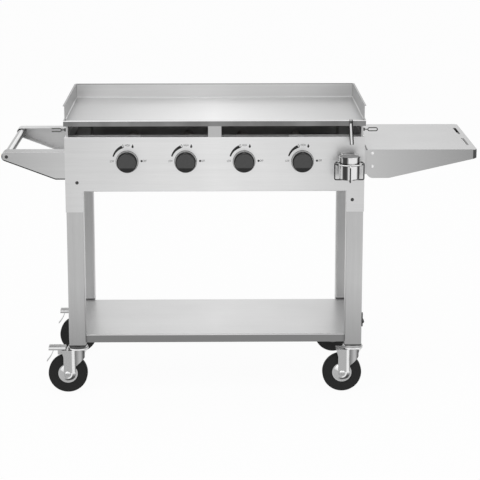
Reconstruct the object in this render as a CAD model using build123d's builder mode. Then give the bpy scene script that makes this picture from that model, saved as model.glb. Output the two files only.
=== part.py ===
"""Flat top gas barbecue on a four-castor trolley, with a side shelf and a push handle.

The model is laid out from the middle of the body: x to the right, y from the front
panel's face towards the back, z up from the floor. It is moved to the centre of its
own box when it is written.
"""

import os
from math import cos, radians, sin, sqrt

from build123d import *

os.makedirs("parts", exist_ok=True)

# Body
body_width = 950.0
body_depth = 502.0
body_bottom = 671.0
body_height = 176.0
sheet = 1.5
bend = 2.25
top_flange = 40.0
side_flange = 30.0
bottom_flange = 15.0
tab_drop = 67.0
centre_tab_width = 42.0
fit_gap = 0.5

# Griddle
griddle_rise = 53.0
griddle_thickness = 5.0
griddle_bend = 3.5
griddle_overhang = 2.5
griddle_back_gap = 13.0
rim_height = 19.0
guard_height = 47.0
guard_sheet = 2.0
guard_back_gap = 3.0
guard_front = 2.0
guard_hem = 6.0
guard_corner = 8.0
bar_thickness = 6.0
bar_inset = 5.0
bar_front = 8.0
bar_back_gap = 24.0

# Drain spout
spout_inset = 45.0
spout_width = 12.0
spout_height = 9.0
spout_wall = 1.5
spout_reach = 42.0
spout_slope = 45.0
notch_depth = 14.0
spout_seat = 16.0

# Legs and bottom shelf
leg_size = 54.0
leg_wall = 1.5
leg_corner = 5.0
leg_floor = 5.0
leg_head_gap = 3.0
castor_height = 158.0
shelf_rise = 36.0
shelf_lip = 27.0
shelf_front = 20.0
shelf_edge = 2.5

# Push handle
handle_reach = 200.0
handle_drop = 47.0
handle_heel = 90.0
handle_flat = 30.6
handle_end = 26.0
handle_round = 14.0
handle_depth = 50.0
handle_edge = 2.5
rear_handle_gap = 4.0
tube_radius = 12.5
tube_wall = 1.5
tube_plug = 10.0
tube_inset = 16.0

# Side shelf
side_shelf_reach = 357.0
side_shelf_gap = 5.0
side_shelf_drop = 42.0
side_shelf_back_gap = 19.0
side_shelf_root = 92.0
side_shelf_tip = 28.0
side_shelf_flat = 72.0
side_shelf_corner = 14.0
side_shelf_heel = 22.0
side_shelf_edge = 2.0
slot_inset = 20.0
slot_width = 10.0
slot_length = 125.0
slot_spacing = 201.0
bracket_sheet = 2.0
bracket_leg = 45.0
bracket_height = 76.0
bracket_flange = 35.0

# Dome head bolts
bolt_radius = 3.0
bolt_head_radius = 5.5
bolt_head_height = 4.5
bolt_length = 9.0
bolt_clearance = 0.1
panel_bolt_inset = 37.5
upper_bolt_rise = 29.0
lower_bolt_drop = 28.0
shelf_bolt_inset = 19.0
shelf_bolt_drops = (12.0, 54.0)

# Knobs, stems and valves
knob_margin = 197.2
knob_drop = 79.5
knob_radius = 32.5
knob_skirt = 9.0
knob_length = 26.0
knob_face_radius = 29.5
knob_peak = 33.0
knob_chin = 19.0
knob_draft = 6.0
knob_edge = 1.6
knob_push_gap = 4.0
knob_bore_depth = 20.0
bezel_radius = 35.75
bezel_height = 3.0
bezel_bore = 20.0
stem_radius = 4.0
stem_flat = 2.8
stem_fit = 0.06
stem_engaged = 15.0
stem_back = 29.5
panel_hole = 14.3
bonnet_radius = 14.0
valve_flange_radius = 22.0
valve_flange = 3.0
valve_radius = 16.0
valve_front = 30.0
valve_back = 88.0
jet_radius = 5.0
jet_length = 10.0
neck_radius = 7.0
manifold_y = 75.0
manifold_drop = 32.5
manifold_radius = 11.0
manifold_wall = 2.0
manifold_margin = 42.0
inlet_gap = 3.5
inlet_hex = 22.0
inlet_hex_length = 10.0
inlet_thread_radius = 7.94
inlet_thread = 20.0
inlet_bore = 4.0
inlet_sink = 8.0
pipe_fit = 0.1
hole_clearance = 0.3

# Burners and their tray
tray_front = 40.0
tray_back_gap = 22.0
tray_rise = 19.0
tray_side = 30.0
tray_head = 32.5
shield_y = 100.0
vent_length = 60.0
vent_width = 12.0
burner_radius = 19.0
burner_wall = 1.2
burner_front = 135.0
burner_back_gap = 12.0
burner_mouth = 92.0
burner_neck = 16.8
port_count = 14
port_pitch = 20.0
port_width = 2.0
port_depth = 4.0
burner_pin = 6.0

# Grease cup and its wire holder
cup_inset = 52.0
cup_forward = 50.0
cup_radius = 32.5
cup_height = 73.0
cup_wall = 1.0
cup_rim = 1.6
wire_radius = 2.0
ring_wire = 2.4
ring_radius = 44.4
weld_offset = 1.6
weld_overlap = 0.5
cross_drop = 1.2
ring_rise = 2.5
base_wire_drop = 52.0
wire_bend = 4.5
hanger_spacing = 40.0
hanger_rise = 21.0
hanger_bend = 5.0
cup_seat_gap = 0.3

# Tool hooks and hose clip
hook_rise = 21.0
hook_y = 14.0
hook_wire = 1.6
hook_boss = 5.0
hook_boss_height = 5.0
hook_shank = 10.0
hook_length = 30.0
hook_width = 10.0
clip_rise = 48.5
clip_forward = 12.0
clip_drop = 5.0
clip_height = 45.0
clip_width = 18.0
clip_depth = 6.5
clip_wall = 2.0
clip_plate = 4.0

# Castors
wheel_gap = 31.0
tyre_width = 28.0
tyre_round = 6.0
hub_radius = 31.5
hub_rim_width = 24.0
hub_rim = 2.5
hub_boss_radius = 12.0
tyre_fit = 0.05
trail = 34.0
axle_radius = 5.0
axle_fit = 0.06
axle_head = 4.0
axle_hex = 17.0
fork_inner = 40.0
fork_sheet = 2.5
fork_back = 54.0
fork_ridge = -14.0
fork_ridge_round = 4.0
fork_step = 4.5
fork_nose = 21.0
fork_arm = 39.0
fork_arm_lead = 6.5
fork_throat = 25.0
fork_lip = 33.0
fork_lip_drop = 21.0
fork_lip_width = 16.0
fork_shoulder = 30.0
fork_drop = 8.2
fork_plate = 4.0
race_radius = 33.5
race_height = 4.2
race_neck = 28.0
head_radius = 30.0
head_height = 6.5
swivel_gap = 0.3
king_radius = 6.0
king_fit = 0.08
king_head_radius = 11.0
king_head = 4.0
stem_length = 32.0
nut_hex = 19.0
nut_height = 8.0
hub_gap = 0.4

# Castor brake
pedal_pivot_x = -46.0
pedal_pivot_drop = 6.0
pedal_pin = 2.5
pedal_fit = 0.08
pedal_width = 34.0
pedal_tip = -95.0
pedal_root = -40.0
pedal_gap = 1.5
pedal_rise = 10.0
pedal_skirt = 10.0
pedal_sheet = 2.5
pedal_cheek = 6.0
fork_waist = 23.0
shoe_front = -66.0
shoe_back = -54.0
shoe_drop = 15.5
shoe_width = 24.0
lever_sheet = 2.0
lever_width = 20.0
lever_top = (-78.0, 8.5)
lever_bulge = (-86.0, -16.0)
lever_end = (-102.0, -39.0)

# Values that follow from the sizes above
half_width = body_width / 2
body_top = body_bottom + body_height
griddle_top = body_top + griddle_rise
griddle_back = body_depth - griddle_back_gap
guard_width = body_width + 2 * griddle_overhang - 2 * guard_hem
guard_depth = griddle_back - guard_back_gap - guard_hem
bar_length = body_depth - bar_front - bar_back_gap
spout_x = half_width - spout_inset
shelf_top = castor_height + shelf_rise
handle_top = body_top - handle_drop
rear_handle_y = body_depth - rear_handle_gap
side_shelf_top = body_top - side_shelf_drop
side_shelf_depth = body_depth - side_shelf_back_gap
upper_bolt_z = body_bottom + upper_bolt_rise
lower_bolt_z = body_bottom - lower_bolt_drop
knob_spacing = (body_width - 2 * knob_margin) / 3
knob_z = body_top - knob_drop
manifold_z = knob_z - manifold_drop
tray_back = body_depth - tray_back_gap
tray_floor = body_bottom + tray_rise
tray_end = knob_z + tray_head - tray_floor
burner_back = tray_back - burner_back_gap
cup_x = half_width - cup_inset
ring_z = knob_z + ring_rise
base_wire_z = ring_z - base_wire_drop
hanger_z = ring_z + hanger_rise
hook_z = body_top + hook_rise
clip_z = shelf_top + clip_rise
leg_x = half_width - sheet - leg_size / 2
leg_front_y = sheet + leg_size / 2
leg_rear_y = body_depth - sheet - leg_size / 2
leg_inner = leg_x - leg_size / 2
leg_top = body_top - sheet - leg_head_gap
knob_x = [(i - 1.5) * knob_spacing for i in range(4)]
cup_bottom = base_wire_z + wire_radius + cup_seat_gap
bar_x = half_width - bar_inset - bar_thickness / 2
race_top = castor_height - head_height - swivel_gap
wheel_radius = (castor_height - wheel_gap) / 2
fork_top = race_top - fork_drop
fork_shoulder_z = fork_top - fork_shoulder
fork_waist_z = fork_top - fork_waist
pedal_pivot_z = fork_top - pedal_pivot_drop
pedal_top = fork_top + pedal_rise
shoe_bottom = fork_top - shoe_drop
left_reach = half_width + handle_reach
right_reach = half_width + side_shelf_reach
upright_radius = ring_radius + weld_offset
front_reach = cup_forward + upright_radius + wire_radius
back_reach = max(body_depth + bolt_head_height, leg_rear_y + race_radius)
frame_x = (left_reach - right_reach) / 2
frame_y = (front_reach - back_reach) / 2
frame_shift = Location((frame_x, frame_y, 0))
half_turn = Axis((0, body_depth / 2, 0), (0, 0, 1))
front_bolts = [(-(half_width - panel_bolt_inset), upper_bolt_z), (half_width - panel_bolt_inset, lower_bolt_z)]


def save(builder, label, place=Location()):
    """Write one finished piece in the part's own frame."""
    builder.part.label = label
    placed = builder.part.moved(frame_shift * place)
    placed.label = label
    export_step(placed, f"parts/{label}.step")


def block(x0, x1, y0, y1, z0, z1, mode=Mode.ADD):
    """A straight block between two corners."""
    with Locations(((x0 + x1) / 2, (y0 + y1) / 2, (z0 + z1) / 2)):
        Box(x1 - x0, y1 - y0, z1 - z0, mode=mode)


def front_plane(y):
    """A plane across the front, seen from the front: x right, z up, normal towards -y."""
    return Plane((0, y, 0), x_dir=(1, 0, 0), z_dir=(0, -1, 0))


def side_plane(x):
    """A plane along the body, seen from the right: y back, z up, normal towards +x."""
    return Plane((x, 0, 0), x_dir=(0, 1, 0), z_dir=(1, 0, 0))


def drill(x, z, radius, y0, y1):
    """Cut a round hole that runs front to back."""
    with BuildSketch(front_plane(y1)) as hole:
        with Locations((x, z)):
            Circle(radius)
    extrude(hole.sketch, amount=y1 - y0, mode=Mode.SUBTRACT)


def wire(points, radius, corner):
    """Sweep a round wire along straight runs joined by arcs."""
    with BuildLine() as path:
        FilletPolyline(*points, radius=corner)
    with BuildSketch(path.line ^ 0) as section:
        Circle(radius)
    sweep(section.sketch, path=path.line)


# Front and rear panels
def panel_blank():
    """A folded panel with top and bottom flanges, leg tabs and a centre tab."""
    middle = sheet / 2
    with BuildPart() as blank:
        with BuildSketch(Plane.YZ):
            with BuildLine():
                FilletPolyline(
                    (bottom_flange, body_bottom + middle),
                    (middle, body_bottom + middle),
                    (middle, body_top - middle),
                    (top_flange, body_top - middle),
                    radius=bend,
                )
            trace(line_width=sheet)
        extrude(amount=half_width, both=True)
        for side in (-1, 1):
            inner, outer = sorted((side * leg_inner, side * half_width))
            corner = bend + sheet
            block(inner, outer, sheet, bottom_flange, body_bottom, body_bottom + corner, Mode.SUBTRACT)
            block(inner, outer, 0, sheet, body_bottom - tab_drop, body_bottom + corner)
            inner, outer = sorted((side * (half_width - sheet), side * half_width))
            block(inner, outer, sheet, top_flange, body_top - corner, body_top, Mode.SUBTRACT)
        tab_top = griddle_top - rim_height
        block(-centre_tab_width / 2, centre_tab_width / 2, 0, sheet, body_top - bend - sheet, tab_top)
        for x, z in front_bolts:
            drill(x, z, bolt_radius + bolt_clearance, 0, sheet)
    return blank


blank_panel = panel_blank()

with BuildPart() as front_panel:
    add(blank_panel.part)
    for x in knob_x:
        drill(x, knob_z, panel_hole, 0, sheet)
    for side in (-1, 1):
        drill(cup_x + side * hanger_spacing / 2, hanger_z, wire_radius + hole_clearance, 0, sheet)
save(front_panel, "front_panel")

with BuildPart() as rear_panel:
    add(blank_panel.part.rotate(half_turn, 180))
save(rear_panel, "rear_panel")


# Side panels
def side_panel(side):
    """A folded side sheet that closes the body between the front and rear panels."""
    middle = sheet / 2
    wall = side * (half_width - middle)
    corner = bend + sheet
    with BuildPart() as panel:
        with BuildSketch(Plane.XZ.offset(-(body_depth - sheet))):
            with BuildLine():
                FilletPolyline(
                    (side * (half_width - bottom_flange), body_bottom + middle),
                    (wall, body_bottom + middle),
                    (wall, body_top - middle),
                    (side * (half_width - side_flange), body_top - middle),
                    radius=bend,
                )
            trace(line_width=sheet)
        extrude(amount=body_depth - 2 * sheet)
        inner, outer = sorted((side * (half_width - side_flange), side * (half_width - sheet)))
        leg_end = sheet + leg_size + fit_gap
        flange_end = top_flange + fit_gap
        for y0, y1, z0, z1 in (
            (sheet, leg_end, body_bottom, body_bottom + corner),
            (body_depth - leg_end, body_depth - sheet, body_bottom, body_bottom + corner),
            (sheet, flange_end, body_top - corner, body_top),
            (body_depth - flange_end, body_depth - sheet, body_top - corner, body_top),
        ):
            block(inner, outer, y0, y1, z0, z1, Mode.SUBTRACT)
    return panel


left_side_panel = side_panel(-1)
save(left_side_panel, "left_side_panel")

with BuildPart() as right_side_panel:
    add(side_panel(1).part)
    with BuildSketch(side_plane(half_width - sheet)):
        with Locations((manifold_y, manifold_z)):
            Circle(manifold_radius - manifold_wall + hole_clearance)
    extrude(amount=sheet, mode=Mode.SUBTRACT)
save(right_side_panel, "right_side_panel")

# Griddle plate with its turned-down front rim and drain notch
with BuildPart() as griddle_plate:
    half_plate = griddle_thickness / 2
    with BuildSketch(Plane.YZ):
        with BuildLine():
            FilletPolyline(
                (half_plate, griddle_top - rim_height),
                (half_plate, griddle_top - half_plate),
                (griddle_back, griddle_top - half_plate),
                radius=griddle_bend,
            )
        trace(line_width=griddle_thickness)
    extrude(amount=half_width + griddle_overhang, both=True)
    block(
        spout_x - spout_width / 2,
        spout_x + spout_width / 2,
        0,
        notch_depth,
        griddle_top - rim_height,
        griddle_top,
        Mode.SUBTRACT,
    )
save(griddle_plate, "griddle_plate")


# Splash guard on three sides
def guard_outline(margin):
    """Back and sides of the guard, seen from above, open at the front."""
    back = guard_front + guard_depth + margin - guard_front
    with Locations((0, guard_front)):
        Rectangle(guard_width + 2 * margin, back - guard_front, align=(Align.CENTER, Align.MIN))
    fillet(vertices().group_by(Axis.Y)[-1], guard_corner + margin)
    with Locations((0, guard_front)):
        Rectangle(guard_width, guard_depth - guard_front, align=(Align.CENTER, Align.MIN), mode=Mode.SUBTRACT)


with BuildPart() as splash_guard:
    with BuildSketch(Plane.XY.offset(griddle_top)):
        guard_outline(guard_sheet)
    extrude(amount=guard_height)
    with BuildSketch(Plane.XY.offset(griddle_top + guard_height - guard_sheet)):
        guard_outline(guard_hem)
    extrude(amount=guard_sheet)
save(splash_guard, "splash_guard")

# Drain spout, an open channel that runs down and forward from the notch
with BuildPart() as drain_spout:
    fall = radians(spout_slope)
    along = (0, cos(fall), sin(fall))
    run = spout_reach + notch_depth + spout_height
    seat_z = griddle_top - spout_seat
    lip = (spout_x, -spout_reach, seat_z - (spout_reach + notch_depth) * sin(fall) / cos(fall))
    with BuildSketch(Plane(lip, x_dir=(1, 0, 0), z_dir=along)):
        Rectangle(spout_width, spout_height, align=(Align.CENTER, Align.MAX))
        with Locations((0, -spout_wall)):
            Rectangle(
                spout_width - 2 * spout_wall,
                spout_height,
                align=(Align.CENTER, Align.MAX),
                mode=Mode.SUBTRACT,
            )
    extrude(amount=2 * run)
    block(
        spout_x - spout_width,
        spout_x + spout_width,
        notch_depth,
        notch_depth + 3 * run,
        seat_z - 3 * run,
        seat_z + 3 * run,
        Mode.SUBTRACT,
    )
save(drain_spout, "drain_spout")

# Bars that carry the griddle along both sides
with BuildPart() as griddle_bars:
    for side in (-1, 1):
        x = side * bar_x
        block(
            x - bar_thickness / 2,
            x + bar_thickness / 2,
            bar_front,
            bar_front + bar_length,
            body_top,
            griddle_top - griddle_thickness,
        )
save(griddle_bars, "griddle_bars")


# Legs
def leg(x, y, bolt, face):
    """Square tube with a floor that takes the castor stem and one panel bolt hole."""
    bolt_x, bolt_z = bolt
    with BuildPart() as tube:
        with BuildSketch(Plane.XY.offset(castor_height)):
            with Locations((x, y)):
                RectangleRounded(leg_size, leg_size, leg_corner)
        extrude(amount=leg_top - castor_height)
        inside = leg_size - 2 * leg_wall
        with BuildSketch(Plane.XY.offset(castor_height + leg_floor)):
            with Locations((x, y)):
                RectangleRounded(inside, inside, leg_corner - leg_wall)
        extrude(amount=leg_top - castor_height - leg_floor, mode=Mode.SUBTRACT)
        with BuildSketch(Plane.XY.offset(castor_height)):
            with Locations((x, y)):
                Circle(king_radius + bolt_clearance)
        extrude(amount=leg_floor, mode=Mode.SUBTRACT)
        wall_y = y + face * leg_size / 2
        drill(bolt_x, bolt_z, bolt_radius + bolt_clearance, wall_y - leg_wall, wall_y + leg_wall)
    return tube


(left_bolt_x, left_bolt_z), (right_bolt_x, right_bolt_z) = front_bolts
leg_places = {
    "front_left": (-leg_x, leg_front_y, (left_bolt_x, left_bolt_z), -1),
    "front_right": (leg_x, leg_front_y, (right_bolt_x, right_bolt_z), -1),
    "rear_left": (-leg_x, leg_rear_y, (-right_bolt_x, right_bolt_z), 1),
    "rear_right": (leg_x, leg_rear_y, (-left_bolt_x, left_bolt_z), 1),
}
for name, place in leg_places.items():
    save(leg(*place), f"{name}_leg")

# Bottom shelf, notched round the front legs and ended at the rear legs
with BuildPart() as bottom_shelf:
    shelf_side = leg_x + leg_size / 2
    notch_y = leg_front_y + leg_size / 2
    shelf_back = leg_rear_y - leg_size / 2
    with BuildSketch(Plane.XY.offset(shelf_top - shelf_lip)) as shelf_plan:
        with BuildLine():
            Polyline(
                (-leg_inner, shelf_front),
                (leg_inner, shelf_front),
                (leg_inner, notch_y),
                (shelf_side, notch_y),
                (shelf_side, shelf_back),
                (-shelf_side, shelf_back),
                (-shelf_side, notch_y),
                (-leg_inner, notch_y),
                close=True,
            )
        make_face()
    extrude(amount=shelf_lip)
    front_edge = edges().filter_by(Axis.X).group_by(Axis.Y)[0].sort_by(Axis.Z)[-1]
    fillet(front_edge, shelf_edge)
    with BuildSketch(Plane.XY.offset(shelf_top - shelf_lip)):
        offset(shelf_plan.sketch_local, amount=-sheet, kind=Kind.INTERSECTION)
    extrude(amount=shelf_lip - sheet, mode=Mode.SUBTRACT)
save(bottom_shelf, "bottom_shelf")


# Push handle
def handle_bracket(face, inward):
    """Tapered tray with a rounded end, its outer face at this depth and its open side inward."""
    with BuildPart() as bracket:
        with BuildSketch(front_plane(face)) as outline:
            with BuildLine():
                Polyline(
                    (-half_width, handle_top - handle_heel),
                    (-half_width, handle_top),
                    (-left_reach, handle_top),
                    (-left_reach, handle_top - handle_end),
                    (-half_width - handle_flat, handle_top - handle_heel),
                    close=True,
                )
            make_face()
            fillet(vertices().group_by(Axis.X)[0], handle_round)
        extrude(amount=-inward * handle_depth)
        folds = faces().filter_by(Plane.XZ).sort_by(Axis.Y)[0 if inward > 0 else -1].edges()
        fillet(folds.sort_by(Axis.X)[:-1], handle_edge)
        with BuildSketch(front_plane(face + inward * sheet)):
            offset(outline.sketch_local, amount=-sheet)
        extrude(amount=-inward * handle_depth, mode=Mode.SUBTRACT)
        drill(tube_x, tube_z, bolt_radius + bolt_clearance, *sorted((face, face + inward * sheet)))
    return bracket


tube_x = -left_reach + tube_inset
tube_z = handle_top - tube_inset
front_handle_bracket = handle_bracket(0, 1)
save(front_handle_bracket, "front_handle_bracket")
rear_handle_bracket = handle_bracket(rear_handle_y, -1)
save(rear_handle_bracket, "rear_handle_bracket")

with BuildPart() as handle_tube:
    tube_back = rear_handle_y - sheet
    tube_length = tube_back - sheet
    with BuildSketch(front_plane(tube_back)):
        with Locations((tube_x, tube_z)):
            Circle(tube_radius)
    extrude(amount=tube_length)
    with BuildSketch(front_plane(tube_back - tube_plug)):
        with Locations((tube_x, tube_z)):
            Circle(tube_radius - tube_wall)
    extrude(amount=tube_length - 2 * tube_plug, mode=Mode.SUBTRACT)
    drill(tube_x, tube_z, bolt_radius + bolt_clearance, sheet, sheet + tube_plug)
    drill(tube_x, tube_z, bolt_radius + bolt_clearance, tube_back - tube_plug, tube_back)
save(handle_tube, "handle_tube")

# Side shelf with turned-down edges, tapered ends and two slots
side_shelf_left = half_width + side_shelf_gap
side_shelf_bolt_x = side_shelf_left + shelf_bolt_inset
with BuildPart() as side_shelf:
    shelf_length = right_reach - side_shelf_left
    shelf_low = side_shelf_top - side_shelf_root
    with BuildSketch(Plane.XY.offset(shelf_low)) as side_plan:
        with Locations((side_shelf_left, 0)):
            Rectangle(shelf_length, side_shelf_depth, align=Align.MIN)
        fillet(vertices().group_by(Axis.X)[-1], side_shelf_corner)
    extrude(amount=side_shelf_root)
    fillet(faces().sort_by(Axis.Z)[-1].edges().sort_by(Axis.X)[1:], side_shelf_edge)
    with BuildSketch(Plane.XY.offset(shelf_low)):
        with Locations((side_shelf_left, sheet)):
            Rectangle(shelf_length - sheet, side_shelf_depth - 2 * sheet, align=Align.MIN)
        fillet(vertices().group_by(Axis.X)[-1], side_shelf_corner - sheet)
    extrude(amount=side_shelf_root - sheet, mode=Mode.SUBTRACT)
    with BuildSketch(front_plane(side_shelf_depth)):
        with BuildLine():
            Polyline(
                (side_shelf_left, side_shelf_top),
                (side_shelf_left, shelf_low),
                (side_shelf_left + side_shelf_flat, shelf_low),
                (right_reach, side_shelf_top - side_shelf_tip),
                (right_reach, side_shelf_top),
                close=True,
            )
        make_face()
        fillet(vertices().group_by(Axis.X)[0].sort_by(Axis.Y)[0], side_shelf_heel)
    extrude(amount=side_shelf_depth, mode=Mode.INTERSECT)
    with BuildSketch(Plane.XY.offset(side_shelf_top)):
        with Locations((right_reach - slot_inset, side_shelf_depth / 2)):
            with GridLocations(0, slot_spacing, 1, 2):
                SlotOverall(slot_length, slot_width, rotation=90)
    extrude(amount=-2 * sheet, mode=Mode.SUBTRACT)
    for drop in shelf_bolt_drops:
        hole_z = side_shelf_top - drop
        drill(side_shelf_bolt_x, hole_z, bolt_radius + bolt_clearance, 0, side_shelf_depth)
save(side_shelf, "side_shelf")

# Angle brackets that tie the side shelf to the body
with BuildPart() as shelf_brackets:
    bracket_top = side_shelf_top - sheet - side_shelf_edge
    bracket_low = bracket_top - bracket_height
    for near, far in ((sheet, 1), (side_shelf_depth - sheet, -1)):
        y0, y1 = sorted((near, near + far * bracket_sheet))
        block(half_width, half_width + bracket_leg, y0, y1, bracket_low, bracket_top)
        y0, y1 = sorted((near, near + far * bracket_flange))
        block(half_width, half_width + bracket_sheet, y0, y1, bracket_low, bracket_top)
    for drop in shelf_bolt_drops:
        hole_z = side_shelf_top - drop
        drill(side_shelf_bolt_x, hole_z, bolt_radius + bolt_clearance, 0, side_shelf_depth)
save(shelf_brackets, "shelf_brackets")


# Dome head bolts
def dome_bolt(x, y, z, way):
    """One bolt whose head faces the front (-1) or the back (+1)."""
    with BuildSketch(Plane((x, y, z), x_dir=(1, 0, 0), z_dir=(0, -way, 0))) as shank:
        Circle(bolt_radius)
    extrude(shank.sketch, amount=bolt_length)
    rise = bolt_head_height
    ball = (bolt_head_radius**2 + rise**2) / (2 * rise)
    with BuildSketch(Plane((x, y, z), x_dir=(1, 0, 0), z_dir=(0, 0, 1))) as head:
        with BuildLine():
            Polyline((0, way * rise), (0, 0), (bolt_head_radius, 0))
            RadiusArc((bolt_head_radius, 0), (0, way * rise), -way * ball)
        make_face()
    revolve(head.sketch, axis=Axis((x, y, z), (0, 1, 0)))


with BuildPart() as dome_bolts:
    for x, z in front_bolts:
        dome_bolt(x, 0, z, -1)
        dome_bolt(-x, body_depth, z, 1)
    dome_bolt(tube_x, 0, tube_z, -1)
    dome_bolt(tube_x, rear_handle_y, tube_z, 1)
    for drop in shelf_bolt_drops:
        dome_bolt(side_shelf_bolt_x, 0, side_shelf_top - drop, -1)
        dome_bolt(side_shelf_bolt_x, side_shelf_depth, side_shelf_top - drop, 1)
save(dome_bolts, "dome_bolts")

# Burner tray with its heat shield
with BuildPart() as burner_tray:
    block(-leg_inner, leg_inner, tray_front, tray_back, tray_floor, tray_floor + sheet)
    for side in (-1, 1):
        x0, x1 = sorted((side * leg_inner, side * (leg_inner - sheet)))
        block(x0, x1, tray_front, tray_back, tray_floor, tray_floor + tray_side)
    block(-leg_inner, leg_inner, tray_back - sheet, tray_back, tray_floor, tray_floor + tray_end)
    block(-leg_inner, leg_inner, shield_y, shield_y + sheet, tray_floor, tray_floor + tray_end)
    for x in knob_x:
        drill(x, knob_z, burner_neck + hole_clearance, shield_y, shield_y + sheet)
        drill(x, knob_z, burner_pin + hole_clearance, tray_back - sheet, tray_back)
    with BuildSketch(Plane.XY.offset(tray_floor)):
        with Locations((0, (shield_y + tray_back) / 2)):
            with GridLocations(knob_spacing, 2 * vent_length, 5, 3):
                SlotOverall(vent_length, vent_width)
    extrude(amount=sheet, mode=Mode.SUBTRACT)
save(burner_tray, "burner_tray")


# Tube burners
def burner(x):
    """Tube burner with an open mouth, a row of ports and a rear locating pin."""
    inner = burner_radius - burner_wall
    with BuildPart() as tube:
        with BuildSketch(side_plane(x)):
            with BuildLine():
                Polyline(
                    (burner_mouth, knob_z + burner_neck),
                    (shield_y + 2 * burner_neck, knob_z + burner_neck),
                    (burner_front, knob_z + burner_radius),
                    (burner_back, knob_z + burner_radius),
                    (burner_back, knob_z + burner_pin),
                    (tray_back, knob_z + burner_pin),
                    (tray_back, knob_z),
                    (burner_back - burner_wall, knob_z),
                    (burner_back - burner_wall, knob_z + inner),
                    (burner_front, knob_z + inner),
                    (shield_y + 2 * burner_neck, knob_z + burner_neck - burner_wall),
                    (burner_mouth, knob_z + burner_neck - burner_wall),
                    close=True,
                )
            make_face()
        revolve(axis=Axis((x, 0, knob_z), (0, 1, 0)))
        port_y = (burner_front + burner_back) / 2
        with Locations((x, port_y, knob_z + burner_radius)):
            with GridLocations(port_pitch, port_pitch, 1, port_count):
                Box(2 * burner_radius, port_width, 2 * port_depth, mode=Mode.SUBTRACT)
    return tube


for number, x in enumerate(knob_x, start=1):
    save(burner(x), f"burner_{number}")

# Gas valves, seated on the back of the front panel and plugged into the manifold
with BuildPart() as gas_valves:
    for x in knob_x:
        with BuildSketch(side_plane(x)):
            with BuildLine():
                Polyline(
                    (sheet, knob_z),
                    (sheet, knob_z + valve_flange_radius),
                    (sheet + valve_flange, knob_z + valve_flange_radius),
                    (sheet + valve_flange, knob_z + bonnet_radius),
                    (valve_front, knob_z + bonnet_radius),
                    (valve_front, knob_z + valve_radius),
                    (valve_back, knob_z + valve_radius),
                    (valve_back, knob_z + jet_radius),
                    (valve_back + jet_length, knob_z + jet_radius),
                    (valve_back + jet_length, knob_z),
                    close=True,
                )
            make_face()
        revolve(axis=Axis((x, 0, knob_z), (0, 1, 0)))
        with BuildSketch(Plane((x, manifold_y, knob_z), z_dir=(0, 0, -1))):
            Circle(neck_radius)
        extrude(amount=knob_z - manifold_z - manifold_radius + manifold_wall)
        drill(x, knob_z, stem_radius + stem_fit, sheet, valve_front)
save(gas_valves, "gas_valves")

with BuildPart() as gas_manifold:
    pipe_start = knob_x[0] - manifold_margin
    pipe_end = half_width - sheet - inlet_gap
    with BuildSketch(side_plane(pipe_start)):
        with Locations((manifold_y, manifold_z)):
            Circle(manifold_radius)
    extrude(amount=pipe_end - pipe_start)
    with BuildSketch(side_plane(pipe_start + manifold_wall)):
        with Locations((manifold_y, manifold_z)):
            Circle(manifold_radius - manifold_wall)
    extrude(amount=pipe_end - pipe_start, mode=Mode.SUBTRACT)
    for x in knob_x:
        with BuildSketch(Plane.XY.offset(manifold_z)):
            with Locations((x, manifold_y)):
                Circle(neck_radius + pipe_fit)
        extrude(amount=manifold_radius, mode=Mode.SUBTRACT)
save(gas_manifold, "gas_manifold")

# Gas inlet on the right side, with a flare thread for the hose
with BuildPart() as gas_inlet:
    spigot_start = pipe_end - inlet_sink
    with BuildSketch(side_plane(spigot_start)):
        with Locations((manifold_y, manifold_z)):
            Circle(manifold_radius - manifold_wall - pipe_fit)
    extrude(amount=half_width - spigot_start)
    with BuildSketch(side_plane(half_width)):
        with Locations((manifold_y, manifold_z)):
            RegularPolygon(inlet_hex / 2, 6, major_radius=False)
    extrude(amount=inlet_hex_length)
    with BuildSketch(side_plane(half_width + inlet_hex_length)):
        with Locations((manifold_y, manifold_z)):
            Circle(inlet_thread_radius)
    extrude(amount=inlet_thread)
    with BuildSketch(side_plane(spigot_start)):
        with Locations((manifold_y, manifold_z)):
            Circle(inlet_bore)
    extrude(amount=half_width + inlet_hex_length + inlet_thread - spigot_start, mode=Mode.SUBTRACT)
save(gas_inlet, "gas_inlet")

# Chrome bezels round the knobs
with BuildPart() as knob_bezels:
    with BuildSketch(front_plane(0)):
        for x in knob_x:
            with Locations((x, knob_z)):
                Circle(bezel_radius)
                Circle(bezel_bore, mode=Mode.SUBTRACT)
    extrude(amount=bezel_height)
    rim_edges = faces().group_by(Axis.Y)[0].edges().filter_by(GeomType.CIRCLE)
    chamfer([edge for edge in rim_edges if 2 * edge.radius > bezel_radius + bezel_bore], bezel_height / 2)
save(knob_bezels, "knob_bezels")


# Valve stems and knobs
knob_back = -bezel_height - knob_push_gap


def flatted_round(x, radius, flat):
    """A round shaft section with one flat, for a keyed knob."""
    with Locations((x, knob_z)):
        Circle(radius)
        with Locations((0, -flat)):
            Rectangle(2 * radius, radius, align=(Align.CENTER, Align.MAX), mode=Mode.SUBTRACT)


def valve_stem(x):
    with BuildPart() as stem:
        with BuildSketch(front_plane(stem_back)):
            with Locations((x, knob_z)):
                Circle(stem_radius)
        extrude(amount=stem_back)
        with BuildSketch(front_plane(0)):
            flatted_round(x, stem_radius, stem_flat)
        extrude(amount=stem_engaged - knob_back)
    return stem


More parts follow.
